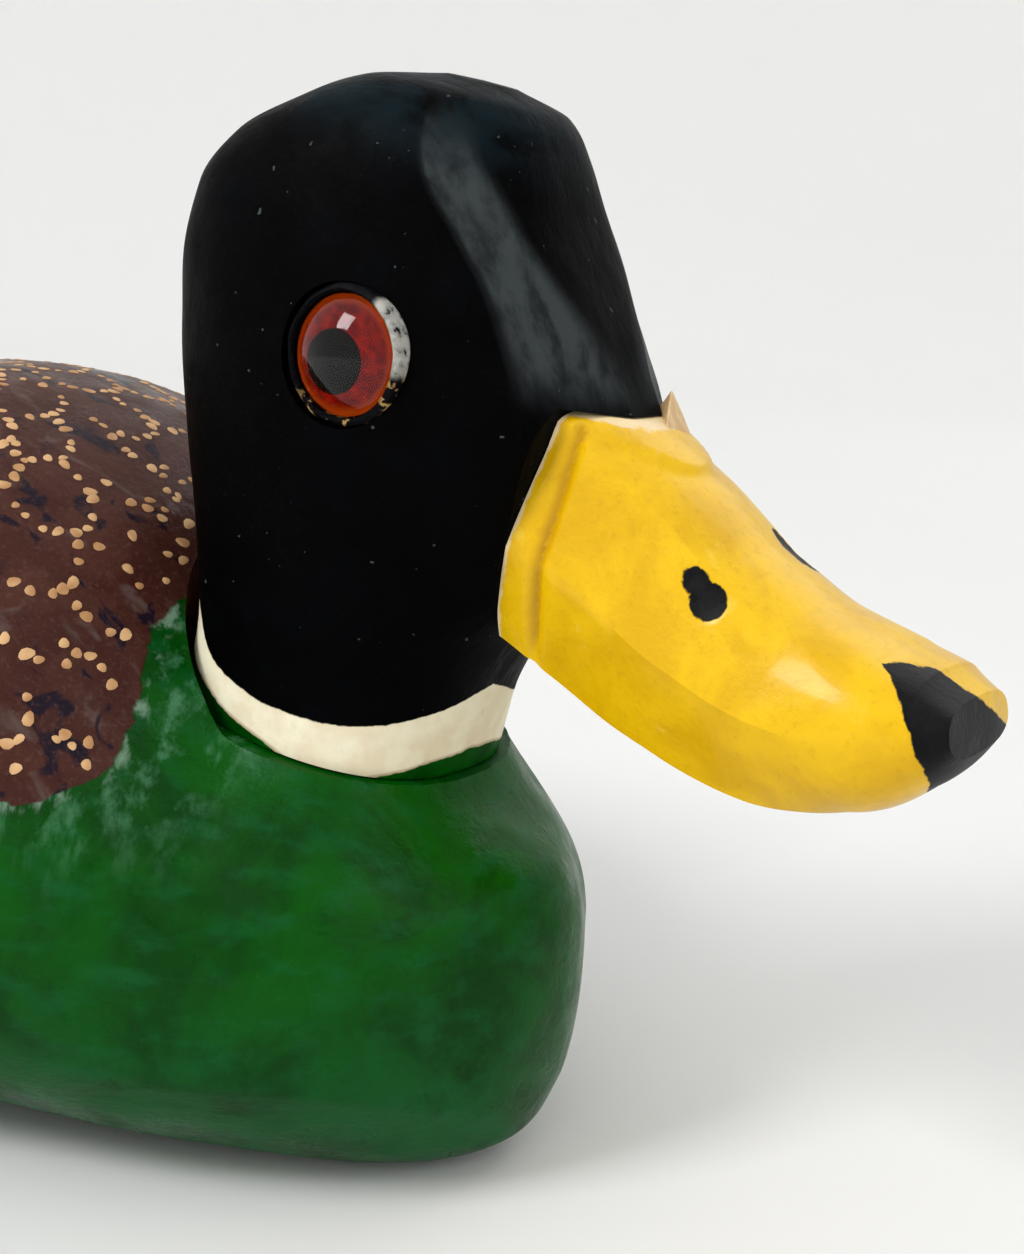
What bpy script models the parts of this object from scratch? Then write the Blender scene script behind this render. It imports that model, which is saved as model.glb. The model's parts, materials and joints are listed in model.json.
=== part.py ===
"""Floating duck decoy: a hollow carved body with a turning head.

Metres, +Z up, +X towards the bill, +Y towards the duck's left side. The origin is the bottom
centre of the whole decoy, on the surface that it stands on.
"""

import math

import bmesh
import bpy
import numpy as np

for old in list(bpy.data.objects):
    bpy.data.objects.remove(old, do_unlink=True)

# ---------------------------------------------------------------- driving dimensions

GAP = 0.0003  # between touching pieces
PAST = 0.004  # how far a cutter passes through a face

TAIL_REACH = 0.250  # from the swivel axis at the seat to the tip of the tail
BILL_REACH = 0.0862  # and to the tip of the bill
NECK_X = (TAIL_REACH - BILL_REACH) / 2
SEAT_HEIGHT = 0.0555  # the seat's centre above the underside
NECK_TILT = math.radians(12)  # the swivel axis leans towards the bill
NECK_RADIUS = 0.0200
NECK_POWER = 2.6  # 2 is round, more is squarer
SWING_RADIUS = 0.0262  # clear of the turning nape
SWING_HEIGHT = 0.060

# Body cross-sections: distance ahead of the swivel axis, half width, top, underside, height of
# the widest place. Undersides below zero are planed off flat.
BODY_SECTIONS = (
    (-0.250, 0.010, 0.058, 0.052, 0.055),
    (-0.225, 0.026, 0.062, 0.027, 0.045),
    (-0.170, 0.054, 0.080, 0.000, 0.040),
    (-0.110, 0.066, 0.093, -0.003, 0.040),
    (-0.060, 0.064, 0.0972, -0.003, 0.038),
    (-0.042, 0.060, 0.0925, -0.003, 0.037),
    (-0.025, 0.053, 0.083, -0.0025, 0.034),
    (-0.012, 0.048, 0.069, -0.002, 0.032),
    (0.000, 0.042, 0.055, -0.0015, 0.030),
    (0.019, 0.028, 0.046, -0.0005, 0.028),
    (0.030, 0.0145, 0.042, 0.004, 0.0275),
    (0.035, 0.001, 0.034, 0.026, 0.030),
)
BODY_POWER_ABOVE = 2.15
BODY_POWER_BELOW = 2.3
BODY_RINGS = 36
BODY_SIDES = 32
BODY_CROWDING = 1.7  # rings draw together towards the breast
SEARCH_STEPS = 24
FOOT_SLOPE = 0.52  # how the neck's foot widens with depth under the seat
FOOT_CURVE = -5.0
FOOT_DEPTH = 0.030
FOOT_BLEND = 0.006

# Head sections: height over the seat along the axis, back, front, half width, squareness.
HEAD_SECTIONS = (
    (0.0000, -0.0200, 0.0200, 0.0200, 2.6),
    (0.0085, -0.0196, 0.0203, 0.0200, 2.6),
    (0.0190, -0.0216, 0.0232, 0.0210, 2.6),
    (0.0330, -0.0268, 0.0318, 0.0222, 2.7),
    (0.0470, -0.0308, 0.0350, 0.0226, 2.8),
    (0.0560, -0.0321, 0.0290, 0.0225, 2.8),
    (0.0640, -0.0313, 0.0225, 0.0217, 2.8),
    (0.0710, -0.0272, 0.0174, 0.0200, 2.7),
    (0.0768, -0.0195, 0.0140, 0.0172, 2.5),
    (0.0810, -0.0120, 0.0108, 0.0125, 2.4),
    (0.0830, -0.0040, 0.0050, 0.0035, 2.2),
)
HEAD_POWER_FRONT = 2.0
HEAD_WAIST_BACK = 0.001  # the widest place, behind the middle of a section
NECK_LENGTH = 0.020
HEAD_RINGS = 20
HEAD_SIDES = 32
HEAD_CROWDING = 1.5  # rings draw together towards the crown

# Bill sections: share of the length, centre ahead of the axis, centre over the seat, half
# width, height above the centre line, depth below it, squareness.
BILL_SECTIONS = (
    (0.00, 0.0100, 0.0388, 0.0134, 0.0138, 0.0155, 3.2),
    (0.22, 0.0260, 0.0378, 0.0136, 0.0140, 0.0168, 3.2),
    (0.40, 0.0374, 0.0346, 0.0139, 0.0134, 0.0170, 2.8),
    (0.57, 0.0494, 0.0301, 0.0145, 0.0120, 0.0157, 2.5),
    (0.73, 0.0614, 0.0280, 0.0146, 0.0104, 0.0142, 2.4),
    (0.87, 0.0710, 0.0286, 0.0140, 0.0084, 0.0106, 2.6),
    (0.96, 0.0774, 0.0302, 0.0122, 0.0062, 0.0064, 2.8),
    (1.00, 0.0808, 0.0316, 0.0095, 0.0030, 0.0030, 2.8),
)
BILL_RINGS = 18
BILL_SIDES = 24
BILL_CROWDING = 1.4  # rings draw together towards the tip

# Where the bill sits on the head, seen from the side. Ahead of the axis and over the seat:
# under the chin, the lower corner, the upper corner, the forehead's point and beyond it.
BILL_SEAT = (
    (0.0255, 0.010),
    (0.0255, 0.026),
    (0.0280, 0.0512),
    (0.0357, 0.0513),
    (0.0368, 0.066),
)

EYE_X = 0.0042  # ahead of the axis
EYE_Z = 0.0508  # over the seat
EYE_FACE_Y = 0.0215  # rim of the glass from the middle of the head
GLASS_RADIUS = 0.0070
GLASS_RIM = 0.0010
GLASS_DOME = 0.0030
IRIS_RADIUS = 0.0066
IRIS_THICKNESS = 0.0005
PUTTY_RADIUS = 0.0082
PUTTY_BORE = 0.0073
PUTTY_PROUD = 0.0006
PUTTY_FLOOR = 0.0020
WIRE_RADIUS = 0.0006
WIRE_LENGTH = 0.0090

BOLT_RADIUS = 0.0025
BOLT_IN_HEAD = 0.0280
LEATHER_RADIUS = 0.0165
LEATHER_THICKNESS = 0.0012
NECK_WALL = 0.0140  # wood between the seat and the nut's washer
NUT_WASHER_RADIUS = 0.0080
NUT_WASHER_THICKNESS = 0.0010
NUT_RADIUS = 0.0050  # across the corners, halved
NUT_HEIGHT = 0.0040
NUT_POCKET_RADIUS = 0.0110
NUT_POCKET_DEPTH = 0.0140
BOLT_TAIL = 0.0030  # thread showing below the nut

DOWEL_RADIUS = 0.0040
DOWEL_LENGTH = 0.0220
DOWEL_Z = 0.0380

WALL = 0.016  # of the hollow body
CAVITY_FLOOR = 0.024
CAVITY_BACK = -0.200
CAVITY_FRONT = 0.010
CAVITY_RINGS = 14
CAVITY_SIDES = 20
CAVITY_BEND = 0.8  # power of sine and cosine, less is boxier

BOARD_BACK = -0.150
BOARD_FRONT = -0.034
BOARD_HALF_WIDTH = 0.0215
BOARD_THICKNESS = 0.012
BOARD_LEDGE = 0.009
BOARD_POWER = 3.0
SCREW_ENDS = 0.40  # end screws from the board's middle, share of its length
SCREW_INSET = 0.80  # and across it, share of the middle pair's

BALLAST_HALF_LENGTH = 0.035
BALLAST_HALF_WIDTH = 0.0110
BALLAST_THICKNESS = 0.006
BALLAST_SCREW_X = 0.022  # from the middle of the weight

TIE_X = 0.008  # the staple, ahead of the swivel axis
TIE_Z = 0.0043  # the ring's wire where the staple holds it
TIE_RECESS_RADIUS = 0.0125
TIE_RECESS_DEPTH = 0.0090
RING_RADIUS = 0.0080
RING_WIRE = 0.0010
STAPLE_WIRE = 0.0009
STAPLE_HALF_WIDTH = 0.0030
STAPLE_TOP = 0.0180

SCREW_HEAD_RADIUS = 0.0036
SCREW_SHANK_RADIUS = 0.0017
SCREW_SUNK = 0.0004  # head under the surface
BOARD_SCREW_LENGTH = 0.0200
BALLAST_SCREW_LENGTH = 0.0105
SCREW_SLOT_WIDTH = 0.0008
SCREW_SLOT_DEPTH = 0.0008

# ---------------------------------------------------------------- materials


def finish(name, colour, roughness, metallic=0.0):
    material = bpy.data.materials.new(name)
    material.use_nodes = True
    shader = material.node_tree.nodes["Principled BSDF"]
    shader.inputs["Base Color"].default_value = (*colour, 1.0)
    shader.inputs["Roughness"].default_value = roughness
    shader.inputs["Metallic"].default_value = metallic
    material.diffuse_color = (*colour, 1.0)
    return material


GREEN_PAINT = finish("green_paint", (0.004, 0.090, 0.022), 0.35)
BLACK_PAINT = finish("black_paint", (0.006, 0.007, 0.010), 0.45)
YELLOW_PAINT = finish("yellow_paint", (0.800, 0.480, 0.005), 0.35)
BARE_WOOD = finish("bare_wood", (0.480, 0.300, 0.150), 0.70)
EYE_GLASS = finish("eye_glass", (0.900, 0.350, 0.200), 0.05)
IRIS_PAINT = finish("iris_paint", (0.280, 0.015, 0.005), 0.40)
PUTTY = finish("putty", (0.520, 0.500, 0.460), 0.70)
STEEL = finish("steel", (0.450, 0.450, 0.440), 0.40, 1.0)
BRASS = finish("brass", (0.620, 0.440, 0.160), 0.35, 1.0)
LEATHER = finish("leather", (0.170, 0.075, 0.030), 0.80)
BALLAST_METAL = finish("ballast_metal", (0.130, 0.135, 0.140), 0.60, 1.0)

# ---------------------------------------------------------------- mesh helpers


def empty(name, parent=None, location=(0, 0, 0), rotation=(0, 0, 0)):
    item = bpy.data.objects.new(name, None)
    bpy.context.scene.collection.objects.link(item)
    item.parent = parent
    item.location = location
    item.rotation_euler = rotation
    return item


def mesh_object(name, mesh, material, parent, location=(0, 0, 0), rotation=(0, 0, 0)):
    item = bpy.data.objects.new(name, mesh)
    bpy.context.scene.collection.objects.link(item)
    if material and not mesh.materials:
        mesh.materials.append(material)
    item.parent = parent
    item.location = location
    item.rotation_euler = rotation
    return item


def closed_mesh(name, build, smooth_angle=math.radians(35)):
    """A mesh that build fills, with its faces pointing out."""
    shape = bmesh.new()
    build(shape)
    bmesh.ops.recalc_face_normals(shape, faces=shape.faces)
    mesh = bpy.data.meshes.new(name)
    shape.to_mesh(mesh)
    shape.free()
    mesh.shade_smooth()
    mesh.set_sharp_from_angle(angle=smooth_angle)
    return mesh


def loft(name, rings):
    """The skin through rings of the same number of points, with flat ends."""

    def build(shape):
        loops = [[shape.verts.new(point) for point in ring] for ring in rings]
        count = len(loops[0])
        for low, high in zip(loops, loops[1:]):
            for i in range(count):
                j = (i + 1) % count
                shape.faces.new((low[i], low[j], high[j], high[i]))
        shape.faces.new(loops[0])
        shape.faces.new(loops[-1])

    return closed_mesh(name, build)


def turned(name, profile, sides=24):
    """A solid of revolution about Z. The profile's points are (radius, height); where it
    doesn't start and end on the axis, it is a closed outline round a bore."""

    def build(shape):
        loops = []
        for radius, height in profile:
            count = 1 if radius == 0 else sides
            angles = [2 * math.pi * i / sides for i in range(count)]
            points = [(radius * math.cos(a), radius * math.sin(a), height) for a in angles]
            loops.append([shape.verts.new(point) for point in points])
        pairs = list(zip(loops, loops[1:]))
        if profile[0][0] != 0:
            pairs.append((loops[-1], loops[0]))
        for low, high in pairs:
            for i in range(sides):
                j = (i + 1) % sides
                corners = [low[i % len(low)], low[j % len(low)]]
                corners += [high[j % len(high)], high[i % len(high)]]
                shape.faces.new(list(dict.fromkeys(corners)))

    return closed_mesh(name, build)


def prism(name, outline, start, end, plane="xy"):
    """An outline in a plane, extruded along that plane's normal."""

    def corner(u, v, w):
        return (u, v, w) if plane == "xy" else (u, w, v)

    return loft(name, [[corner(u, v, w) for u, v in outline] for w in (start, end)])


def cut(item, mesh, parent=None, location=(0, 0, 0), rotation=(0, 0, 0)):
    """Takes the shape of a mesh out of an object."""
    tool = mesh_object(mesh.name + "_cutter", mesh, None, parent, location, rotation)
    tool.hide_render = True
    tool.display_type = "WIRE"
    boolean = item.modifiers.new(mesh.name, "BOOLEAN")
    boolean.operation = "DIFFERENCE"
    boolean.solver = "EXACT"
    boolean.object = tool


def bore(name, radius, bottom, top, sides=24):
    return turned(name, [(0, bottom), (radius, bottom), (radius, top), (0, top)], sides)


def smooth_table(rows):
    """A function of the first column that gives the others, through a monotone cubic."""
    table = np.array(rows)
    at, values = table[:, 0], table[:, 1:]
    rise = np.diff(values, axis=0) / np.diff(at)[:, None]
    before, after = rise[:-1], rise[1:]
    total = np.where(before + after == 0, 1, before + after)
    slope = np.zeros_like(values)
    slope[1:-1] = np.where(before * after > 0, 2 * before * after / total, 0)
    slope[0], slope[-1] = rise[0], rise[-1]

    def read(x):
        k = int(np.clip(np.searchsorted(at, x) - 1, 0, len(at) - 2))
        width = at[k + 1] - at[k]
        t = (x - at[k]) / width
        start = (1 + 2 * t) * (1 - t) ** 2 * values[k] + t * (1 - t) ** 2 * width * slope[k]
        end = t * t * (3 - 2 * t) * values[k + 1] - t * t * (1 - t) * width * slope[k + 1]
        return start + end

    return read


def signed_power(value, power):
    return math.copysign(abs(value) ** power, value)


def around(sides):
    return [2 * math.pi * i / sides for i in range(sides)]


def plan_outline(back, front, half_width, sides=40):
    """A rounded oblong seen from above."""
    middle, half_length = (back + front) / 2, (front - back) / 2
    bend = 2 / BOARD_POWER
    return [
        (
            middle + half_length * signed_power(math.cos(a), bend),
            half_width * signed_power(math.sin(a), bend),
        )
        for a in around(sides)
    ]


# ---------------------------------------------------------------- frame

decoy = empty("decoy", location=(NECK_X, 0, 0))
swivel = empty("head_swivel", decoy, (0, 0, SEAT_HEIGHT), (0, NECK_TILT, 0))

# ---------------------------------------------------------------- body

body_section = smooth_table(BODY_SECTIONS)


def body_field(x, y, z, section):
    """Negative inside the body: its section and the neck's flared foot, blended."""
    half_width, top, underside, waist = section
    above = z > waist
    reach = top - waist if above else waist - underside
    power = BODY_POWER_ABOVE if above else BODY_POWER_BELOW
    size = (abs(y / half_width) ** power + abs((z - waist) / reach) ** power) ** (1 / power)
    hull = (size - 1) * min(half_width, reach)
    rise = z - SEAT_HEIGHT
    ahead = x * math.cos(NECK_TILT) - rise * math.sin(NECK_TILT)
    depth = -(x * math.sin(NECK_TILT) + rise * math.cos(NECK_TILT))
    below = max(depth, 0)
    foot_radius = NECK_RADIUS + FOOT_SLOPE * below + FOOT_CURVE * below**2
    spread = (abs(ahead) ** NECK_POWER + abs(y) ** NECK_POWER) ** (1 / NECK_POWER)
    foot = max(spread - foot_radius, -depth - GAP, depth - FOOT_DEPTH)
    mix = min(max(0.5 + (foot - hull) / (4 * FOOT_BLEND), 0), 1)
    blended = foot * (1 - mix) + hull * mix - 2 * FOOT_BLEND * mix * (1 - mix)
    return max(blended, -z)


def body_ring(x):
    """Points round the body at one distance, found along rays from the section's middle."""
    section = body_section(x)
    half_width, top, underside, waist = section
    points = []
    for angle in around(BODY_SIDES):
        across = half_width * math.cos(angle)
        reach = top - waist if math.sin(angle) > 0 else waist - underside
        along = reach * math.sin(angle)
        inside, outside = 0.0, 2.0
        for _ in range(SEARCH_STEPS):
            middle = (inside + outside) / 2
            if body_field(x, middle * across, waist + middle * along, section) < 0:
                inside = middle
            else:
                outside = middle
        points.append((x, inside * across, max(waist + inside * along, 0)))
    return points


def body_stations():
    """Ring positions, closer together round the neck and at both ends."""
    share = [i / (BODY_RINGS - 1) for i in range(BODY_RINGS)]
    front = BODY_SECTIONS[-1][0]
    return [-TAIL_REACH + (front + TAIL_REACH) * (1 - (1 - s) ** BODY_CROWDING) for s in share]


body_shell = mesh_object(
    "body_shell", loft("body_shell", [body_ring(x) for x in body_stations()]), GREEN_PAINT, decoy
)


def cavity_ring(x):
    """The hollow's section: the body's own, a wall's thickness in."""
    half_width, top, _, waist = body_section(x)
    points = []
    for angle in around(CAVITY_SIDES):
        across = (half_width - WALL) * signed_power(math.cos(angle), CAVITY_BEND)
        reach = top - WALL - waist if math.sin(angle) > 0 else waist - CAVITY_FLOOR
        points.append((x, across, waist + reach * signed_power(math.sin(angle), CAVITY_BEND)))
    return points


def cavity_stations():
    span = CAVITY_FRONT - CAVITY_BACK
    return [CAVITY_BACK + span * i / (CAVITY_RINGS - 1) for i in range(CAVITY_RINGS)]


swing_clearance = turned(
    "swing_clearance",
    [(0, 0), (SWING_RADIUS, 0), (SWING_RADIUS, SWING_HEIGHT), (0, SWING_HEIGHT)],
    48,
)
cavity = loft("cavity", [cavity_ring(x) for x in cavity_stations()])
board_seat = prism(
    "board_seat",
    plan_outline(BOARD_BACK - GAP, BOARD_FRONT + GAP, BOARD_HALF_WIDTH + GAP),
    -PAST,
    BOARD_THICKNESS + GAP,
)
hatch = prism(
    "hatch",
    plan_outline(
        BOARD_BACK + BOARD_LEDGE, BOARD_FRONT - BOARD_LEDGE, BOARD_HALF_WIDTH - BOARD_LEDGE
    ),
    0.5 * BOARD_THICKNESS,
    CAVITY_FLOOR + PAST,
)
nut_pocket = bore(
    "nut_pocket", NUT_POCKET_RADIUS, -NECK_WALL - NUT_POCKET_DEPTH, -NECK_WALL, 20
)
bolt_hole = bore("bolt_hole", BOLT_RADIUS + GAP, -NECK_WALL - PAST, PAST, 16)
tie_recess = bore("tie_recess", TIE_RECESS_RADIUS, -PAST, TIE_RECESS_DEPTH, 32)
staple_hole = bore(
    "staple_hole", STAPLE_WIRE + GAP, TIE_RECESS_DEPTH - PAST, STAPLE_TOP + GAP, 12
)

cut(body_shell, swing_clearance, swivel)
cut(body_shell, cavity, decoy)
cut(body_shell, board_seat, decoy)
cut(body_shell, hatch, decoy)
cut(body_shell, nut_pocket, swivel)
cut(body_shell, bolt_hole, swivel)
cut(body_shell, tie_recess, decoy, (TIE_X + RING_WIRE - RING_RADIUS + 0.001, 0, 0))
for side in (-1, 1):
    cut(body_shell, staple_hole, decoy, (TIE_X + side * STAPLE_HALF_WIDTH, 0, 0))

# ---------------------------------------------------------------- bottom board and ballast


def screw_positions():
    """Round the ledge that the board rests on."""
    inset = BOARD_LEDGE / 2
    middle = (BOARD_BACK + BOARD_FRONT) / 2
    across = BOARD_HALF_WIDTH - inset
    ends = SCREW_ENDS * (BOARD_FRONT - BOARD_BACK)
    places = [(middle, across), (middle, -across)]
    for side in (-1, 1):
        places.append((middle + ends, side * across * SCREW_INSET))
        places.append((middle - ends, side * across * SCREW_INSET))
    return places


def screw_profile(length, margin=0.0):
    """Countersunk head down, point up, from the head's face at zero."""
    head, shank = SCREW_HEAD_RADIUS + margin, SCREW_SHANK_RADIUS + margin
    cone = head - shank
    return [
        (0, 0),
        (head, 0),
        (head, 0.0004),
        (shank, 0.0004 + cone),
        (shank, length - 0.003),
        (0.0005, length + margin),
        (0, length + margin),
    ]


def screw_mesh(name, length):
    """A wood screw with its slot already cut."""
    blank = mesh_object(name + "_blank", turned(name, screw_profile(length), 16), BRASS, None)
    half = SCREW_SLOT_WIDTH / 2
    wide = SCREW_HEAD_RADIUS + GAP
    outline = [(-wide, -half), (wide, -half), (wide, half), (-wide, half)]
    cut(blank, prism(name + "_slot", outline, -PAST, SCREW_SLOT_DEPTH))
    ready = blank.evaluated_get(bpy.context.evaluated_depsgraph_get())
    mesh = bpy.data.meshes.new_from_object(ready)
    tool = blank.modifiers[0].object
    bpy.data.objects.remove(blank, do_unlink=True)
    bpy.data.objects.remove(tool, do_unlink=True)
    return mesh


bottom_board = mesh_object(
    "bottom_board",
    prism("bottom_board", plan_outline(BOARD_BACK, BOARD_FRONT, BOARD_HALF_WIDTH), 0, BOARD_THICKNESS),
    BARE_WOOD,
    decoy,
)
board_screw = screw_mesh("board_screw", BOARD_SCREW_LENGTH)
board_screw_hole = turned(
    "board_screw_hole",
    [(0, -PAST), (SCREW_HEAD_RADIUS + GAP, -PAST)]
    + [(r, z) for r, z in screw_profile(BOARD_SCREW_LENGTH, GAP)[2:]],
    16,
)
for number, (x, y) in enumerate(screw_positions(), 1):
    spot = (x, y, SCREW_SUNK)
    mesh_object(f"bottom_screw_{number}", board_screw, BRASS, decoy, spot)
    cut(bottom_board, board_screw_hole, decoy, spot)
    cut(body_shell, board_screw_hole, decoy, spot)


def ballast_outline(margin):
    """An oblong with half-round ends."""
    radius = BALLAST_HALF_WIDTH + margin
    straight = BALLAST_HALF_LENGTH - BALLAST_HALF_WIDTH
    points = []
    for centre, start in ((straight, -math.pi / 2), (-straight, math.pi / 2)):
        for i in range(11):
            angle = start + math.pi * i / 10
            points.append((centre + radius * math.cos(angle), radius * math.sin(angle)))
    return points


ballast_x = (BOARD_BACK + BOARD_FRONT) / 2
ballast_weight = mesh_object(
    "ballast_weight",
    prism("ballast_weight", ballast_outline(0), GAP, BALLAST_THICKNESS),
    BALLAST_METAL,
    decoy,
    (ballast_x, 0, 0),
)
cut(
    bottom_board,
    prism("ballast_pocket", ballast_outline(GAP), -PAST, BALLAST_THICKNESS + GAP),
    decoy,
    (ballast_x, 0, 0),
)
ballast_screw = screw_mesh("ballast_screw", BALLAST_SCREW_LENGTH)
ballast_screw_hole = turned(
    "ballast_screw_hole",
    [(0, -PAST), (SCREW_HEAD_RADIUS + GAP, -PAST)]
    + [(r, z) for r, z in screw_profile(BALLAST_SCREW_LENGTH, GAP)[2:]],
    16,
)
for number, side in enumerate((-1, 1), 1):
    spot = (ballast_x + side * BALLAST_SCREW_X, 0, GAP + SCREW_SUNK)
    mesh_object(f"ballast_screw_{number}", ballast_screw, STEEL, decoy, spot)
    cut(ballast_weight, ballast_screw_hole, decoy, spot)
    cut(bottom_board, ballast_screw_hole, decoy, spot)

# ---------------------------------------------------------------- line tie


def wire(name, points, radius, material, parent, location):
    """A round wire through points, with filled ends."""
    curve = bpy.data.curves.new(name, "CURVE")
    curve.dimensions = "3D"
    curve.bevel_depth = radius
    curve.bevel_resolution = 2
    curve.use_fill_caps = True
    spline = curve.splines.new("POLY")
    spline.points.add(len(points) - 1)
    for target, point in zip(spline.points, points):
        target.co = (*point, 1)
    curve.materials.append(material)
    item = bpy.data.objects.new(name, curve)
    bpy.context.scene.collection.objects.link(item)
    item.parent = parent
    item.location = location
    return item


def staple_points():
    """Two legs up into the wood, joined by a rounded crown below."""
    crown = TIE_Z - RING_WIRE - STAPLE_WIRE - GAP
    bend = 0.6 * STAPLE_HALF_WIDTH
    points = [(-STAPLE_HALF_WIDTH, 0, STAPLE_TOP)]
    for side, first in ((-1, math.pi), (1, 1.5 * math.pi)):
        for i in range(5):
            angle = first + math.pi / 2 * i / 4
            points.append(
                (
                    side * (STAPLE_HALF_WIDTH - bend) + bend * math.cos(angle),
                    0,
                    crown + bend + bend * math.sin(angle),
                )
            )
    points.append((STAPLE_HALF_WIDTH, 0, STAPLE_TOP))
    return points


wire("line_tie_staple", staple_points(), STAPLE_WIRE, BRASS, decoy, (TIE_X, 0, 0))


def torus(name, radius, thickness, sides=28, section=8):
    """A ring in the XY plane whose edge passes through the origin, reaching towards -X."""

    def build(shape):
        loops = []
        for turn in around(sides):
            loop = []
            for angle in around(section):
                reach = radius + thickness * math.cos(angle)
                point = (reach * math.cos(turn) - radius, reach * math.sin(turn))
                loop.append(shape.verts.new((*point, thickness * math.sin(angle))))
            loops.append(loop)
        for i, loop in enumerate(loops):
            following = loops[(i + 1) % sides]
            for j in range(section):
                k = (j + 1) % section
                shape.faces.new((loop[j], loop[k], following[k], following[j]))

    return closed_mesh(name, build)


tie_slope = math.asin((TIE_Z - RING_WIRE - GAP) / (2 * RING_RADIUS))
tie_swing = empty("tie_swing", decoy, (TIE_X, 0, TIE_Z))
mesh_object(
    "line_tie_ring",
    torus("line_tie_ring", RING_RADIUS, RING_WIRE),
    BRASS,
    tie_swing,
    rotation=(0, -tie_slope, 0),
)

# ---------------------------------------------------------------- head

head_section = smooth_table(HEAD_SECTIONS)


def head_ring(height):
    """One level slice: nearly flat cheeks and nape, a rounder brow."""
    back, front, half_width, power = head_section(height)
    waist = (back + front) / 2 - HEAD_WAIST_BACK * min(height / NECK_LENGTH, 1)
    points = []
    for angle in around(HEAD_SIDES):
        c, s = math.cos(angle), math.sin(angle)
        if c > 0:
            x = waist + (front - waist) * signed_power(c, 2 / HEAD_POWER_FRONT)
        else:
            x = waist + (waist - back) * signed_power(c, 2 / power)
        points.append((x, half_width * signed_power(s, 2 / power), height))
    return points


def head_stations():
    top = HEAD_SECTIONS[-1][0]
    share = [i / (HEAD_RINGS - 1) for i in range(HEAD_RINGS)]
    return [GAP + (top - GAP) * (1 - (1 - s) ** HEAD_CROWDING) for s in share]


head = mesh_object(
    "head", loft("head", [head_ring(h) for h in head_stations()]), BLACK_PAINT, swivel
)

bill_section = smooth_table(BILL_SECTIONS)


def bill_ring(share):
    """A section square to the bill's centre line."""
    ahead, height, half_width, up, down, power = bill_section(share)
    step = 0.002
    before, after = bill_section(max(share - step, 0)), bill_section(min(share + step, 1))
    run, rise = after[0] - before[0], after[1] - before[1]
    length = math.hypot(run, rise)
    points = []
    for angle in around(BILL_SIDES):
        across = half_width * signed_power(math.cos(angle), 2 / power)
        thick = (up if math.sin(angle) > 0 else down) * signed_power(math.sin(angle), 2 / power)
        points.append((ahead - thick * rise / length, across, height + thick * run / length))
    return points


def bill_stations():
    share = [i / (BILL_RINGS - 1) for i in range(BILL_RINGS)]
    return [1 - (1 - s) ** BILL_CROWDING for s in share]


bill = mesh_object(
    "bill", loft("bill", [bill_ring(s) for s in bill_stations()]), YELLOW_PAINT, swivel
)


def seat_prism(name, far_x, gap):
    """Everything on one side of the bill's seat."""
    seat = [(x + gap, z - 1.5 * gap) for x, z in BILL_SEAT]
    (low_x, low_z), (high_x, high_z) = seat[0], seat[-1]
    outline = [(low_x, -0.040), *seat, (high_x, 0.100), (far_x, 0.100), (far_x, -0.040)]
    return prism(name, outline, -0.040, 0.040, plane="xz")


front_of_seat = seat_prism("front_of_seat", 0.120, 0)
behind_seat = seat_prism("behind_seat", -0.060, GAP)
cut(head, front_of_seat, swivel)
cut(bill, behind_seat, swivel)

leather_seat = bore("leather_seat", LEATHER_RADIUS + GAP, -PAST, LEATHER_THICKNESS + 2 * GAP, 40)
head_bolt_hole = bore("head_bolt_hole", BOLT_RADIUS + GAP, -PAST, BOLT_IN_HEAD + GAP, 16)
cut(head, leather_seat, swivel)
cut(head, head_bolt_hole, swivel)

dowel_x = BILL_SEAT[1][0] + 0.5 * (BILL_SEAT[2][0] - BILL_SEAT[1][0])
dowel_hole = bore(
    "dowel_hole", DOWEL_RADIUS + GAP, -DOWEL_LENGTH / 2 - GAP, DOWEL_LENGTH / 2 + GAP, 20
)
dowel_turn = (0, math.pi / 2, 0)
cut(head, dowel_hole, swivel, (dowel_x, 0, DOWEL_Z), dowel_turn)
cut(bill, dowel_hole, swivel, (dowel_x, 0, DOWEL_Z), dowel_turn)
mesh_object(
    "bill_dowel",
    bore("bill_dowel", DOWEL_RADIUS, -DOWEL_LENGTH / 2, DOWEL_LENGTH / 2, 20),
    BARE_WOOD,
    swivel,
    (dowel_x, 0, DOWEL_Z),
    dowel_turn,
)

# ---------------------------------------------------------------- neck joint


def washer(name, outer, inner, bottom, top, material, parent, sides=32):
    profile = [(inner, bottom), (outer, bottom), (outer, top), (inner, top)]
    return mesh_object(name, turned(name, profile, sides), material, parent)


washer(
    "neck_washer", LEATHER_RADIUS, BOLT_RADIUS + GAP, GAP, GAP + LEATHER_THICKNESS, LEATHER, swivel
)

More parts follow.
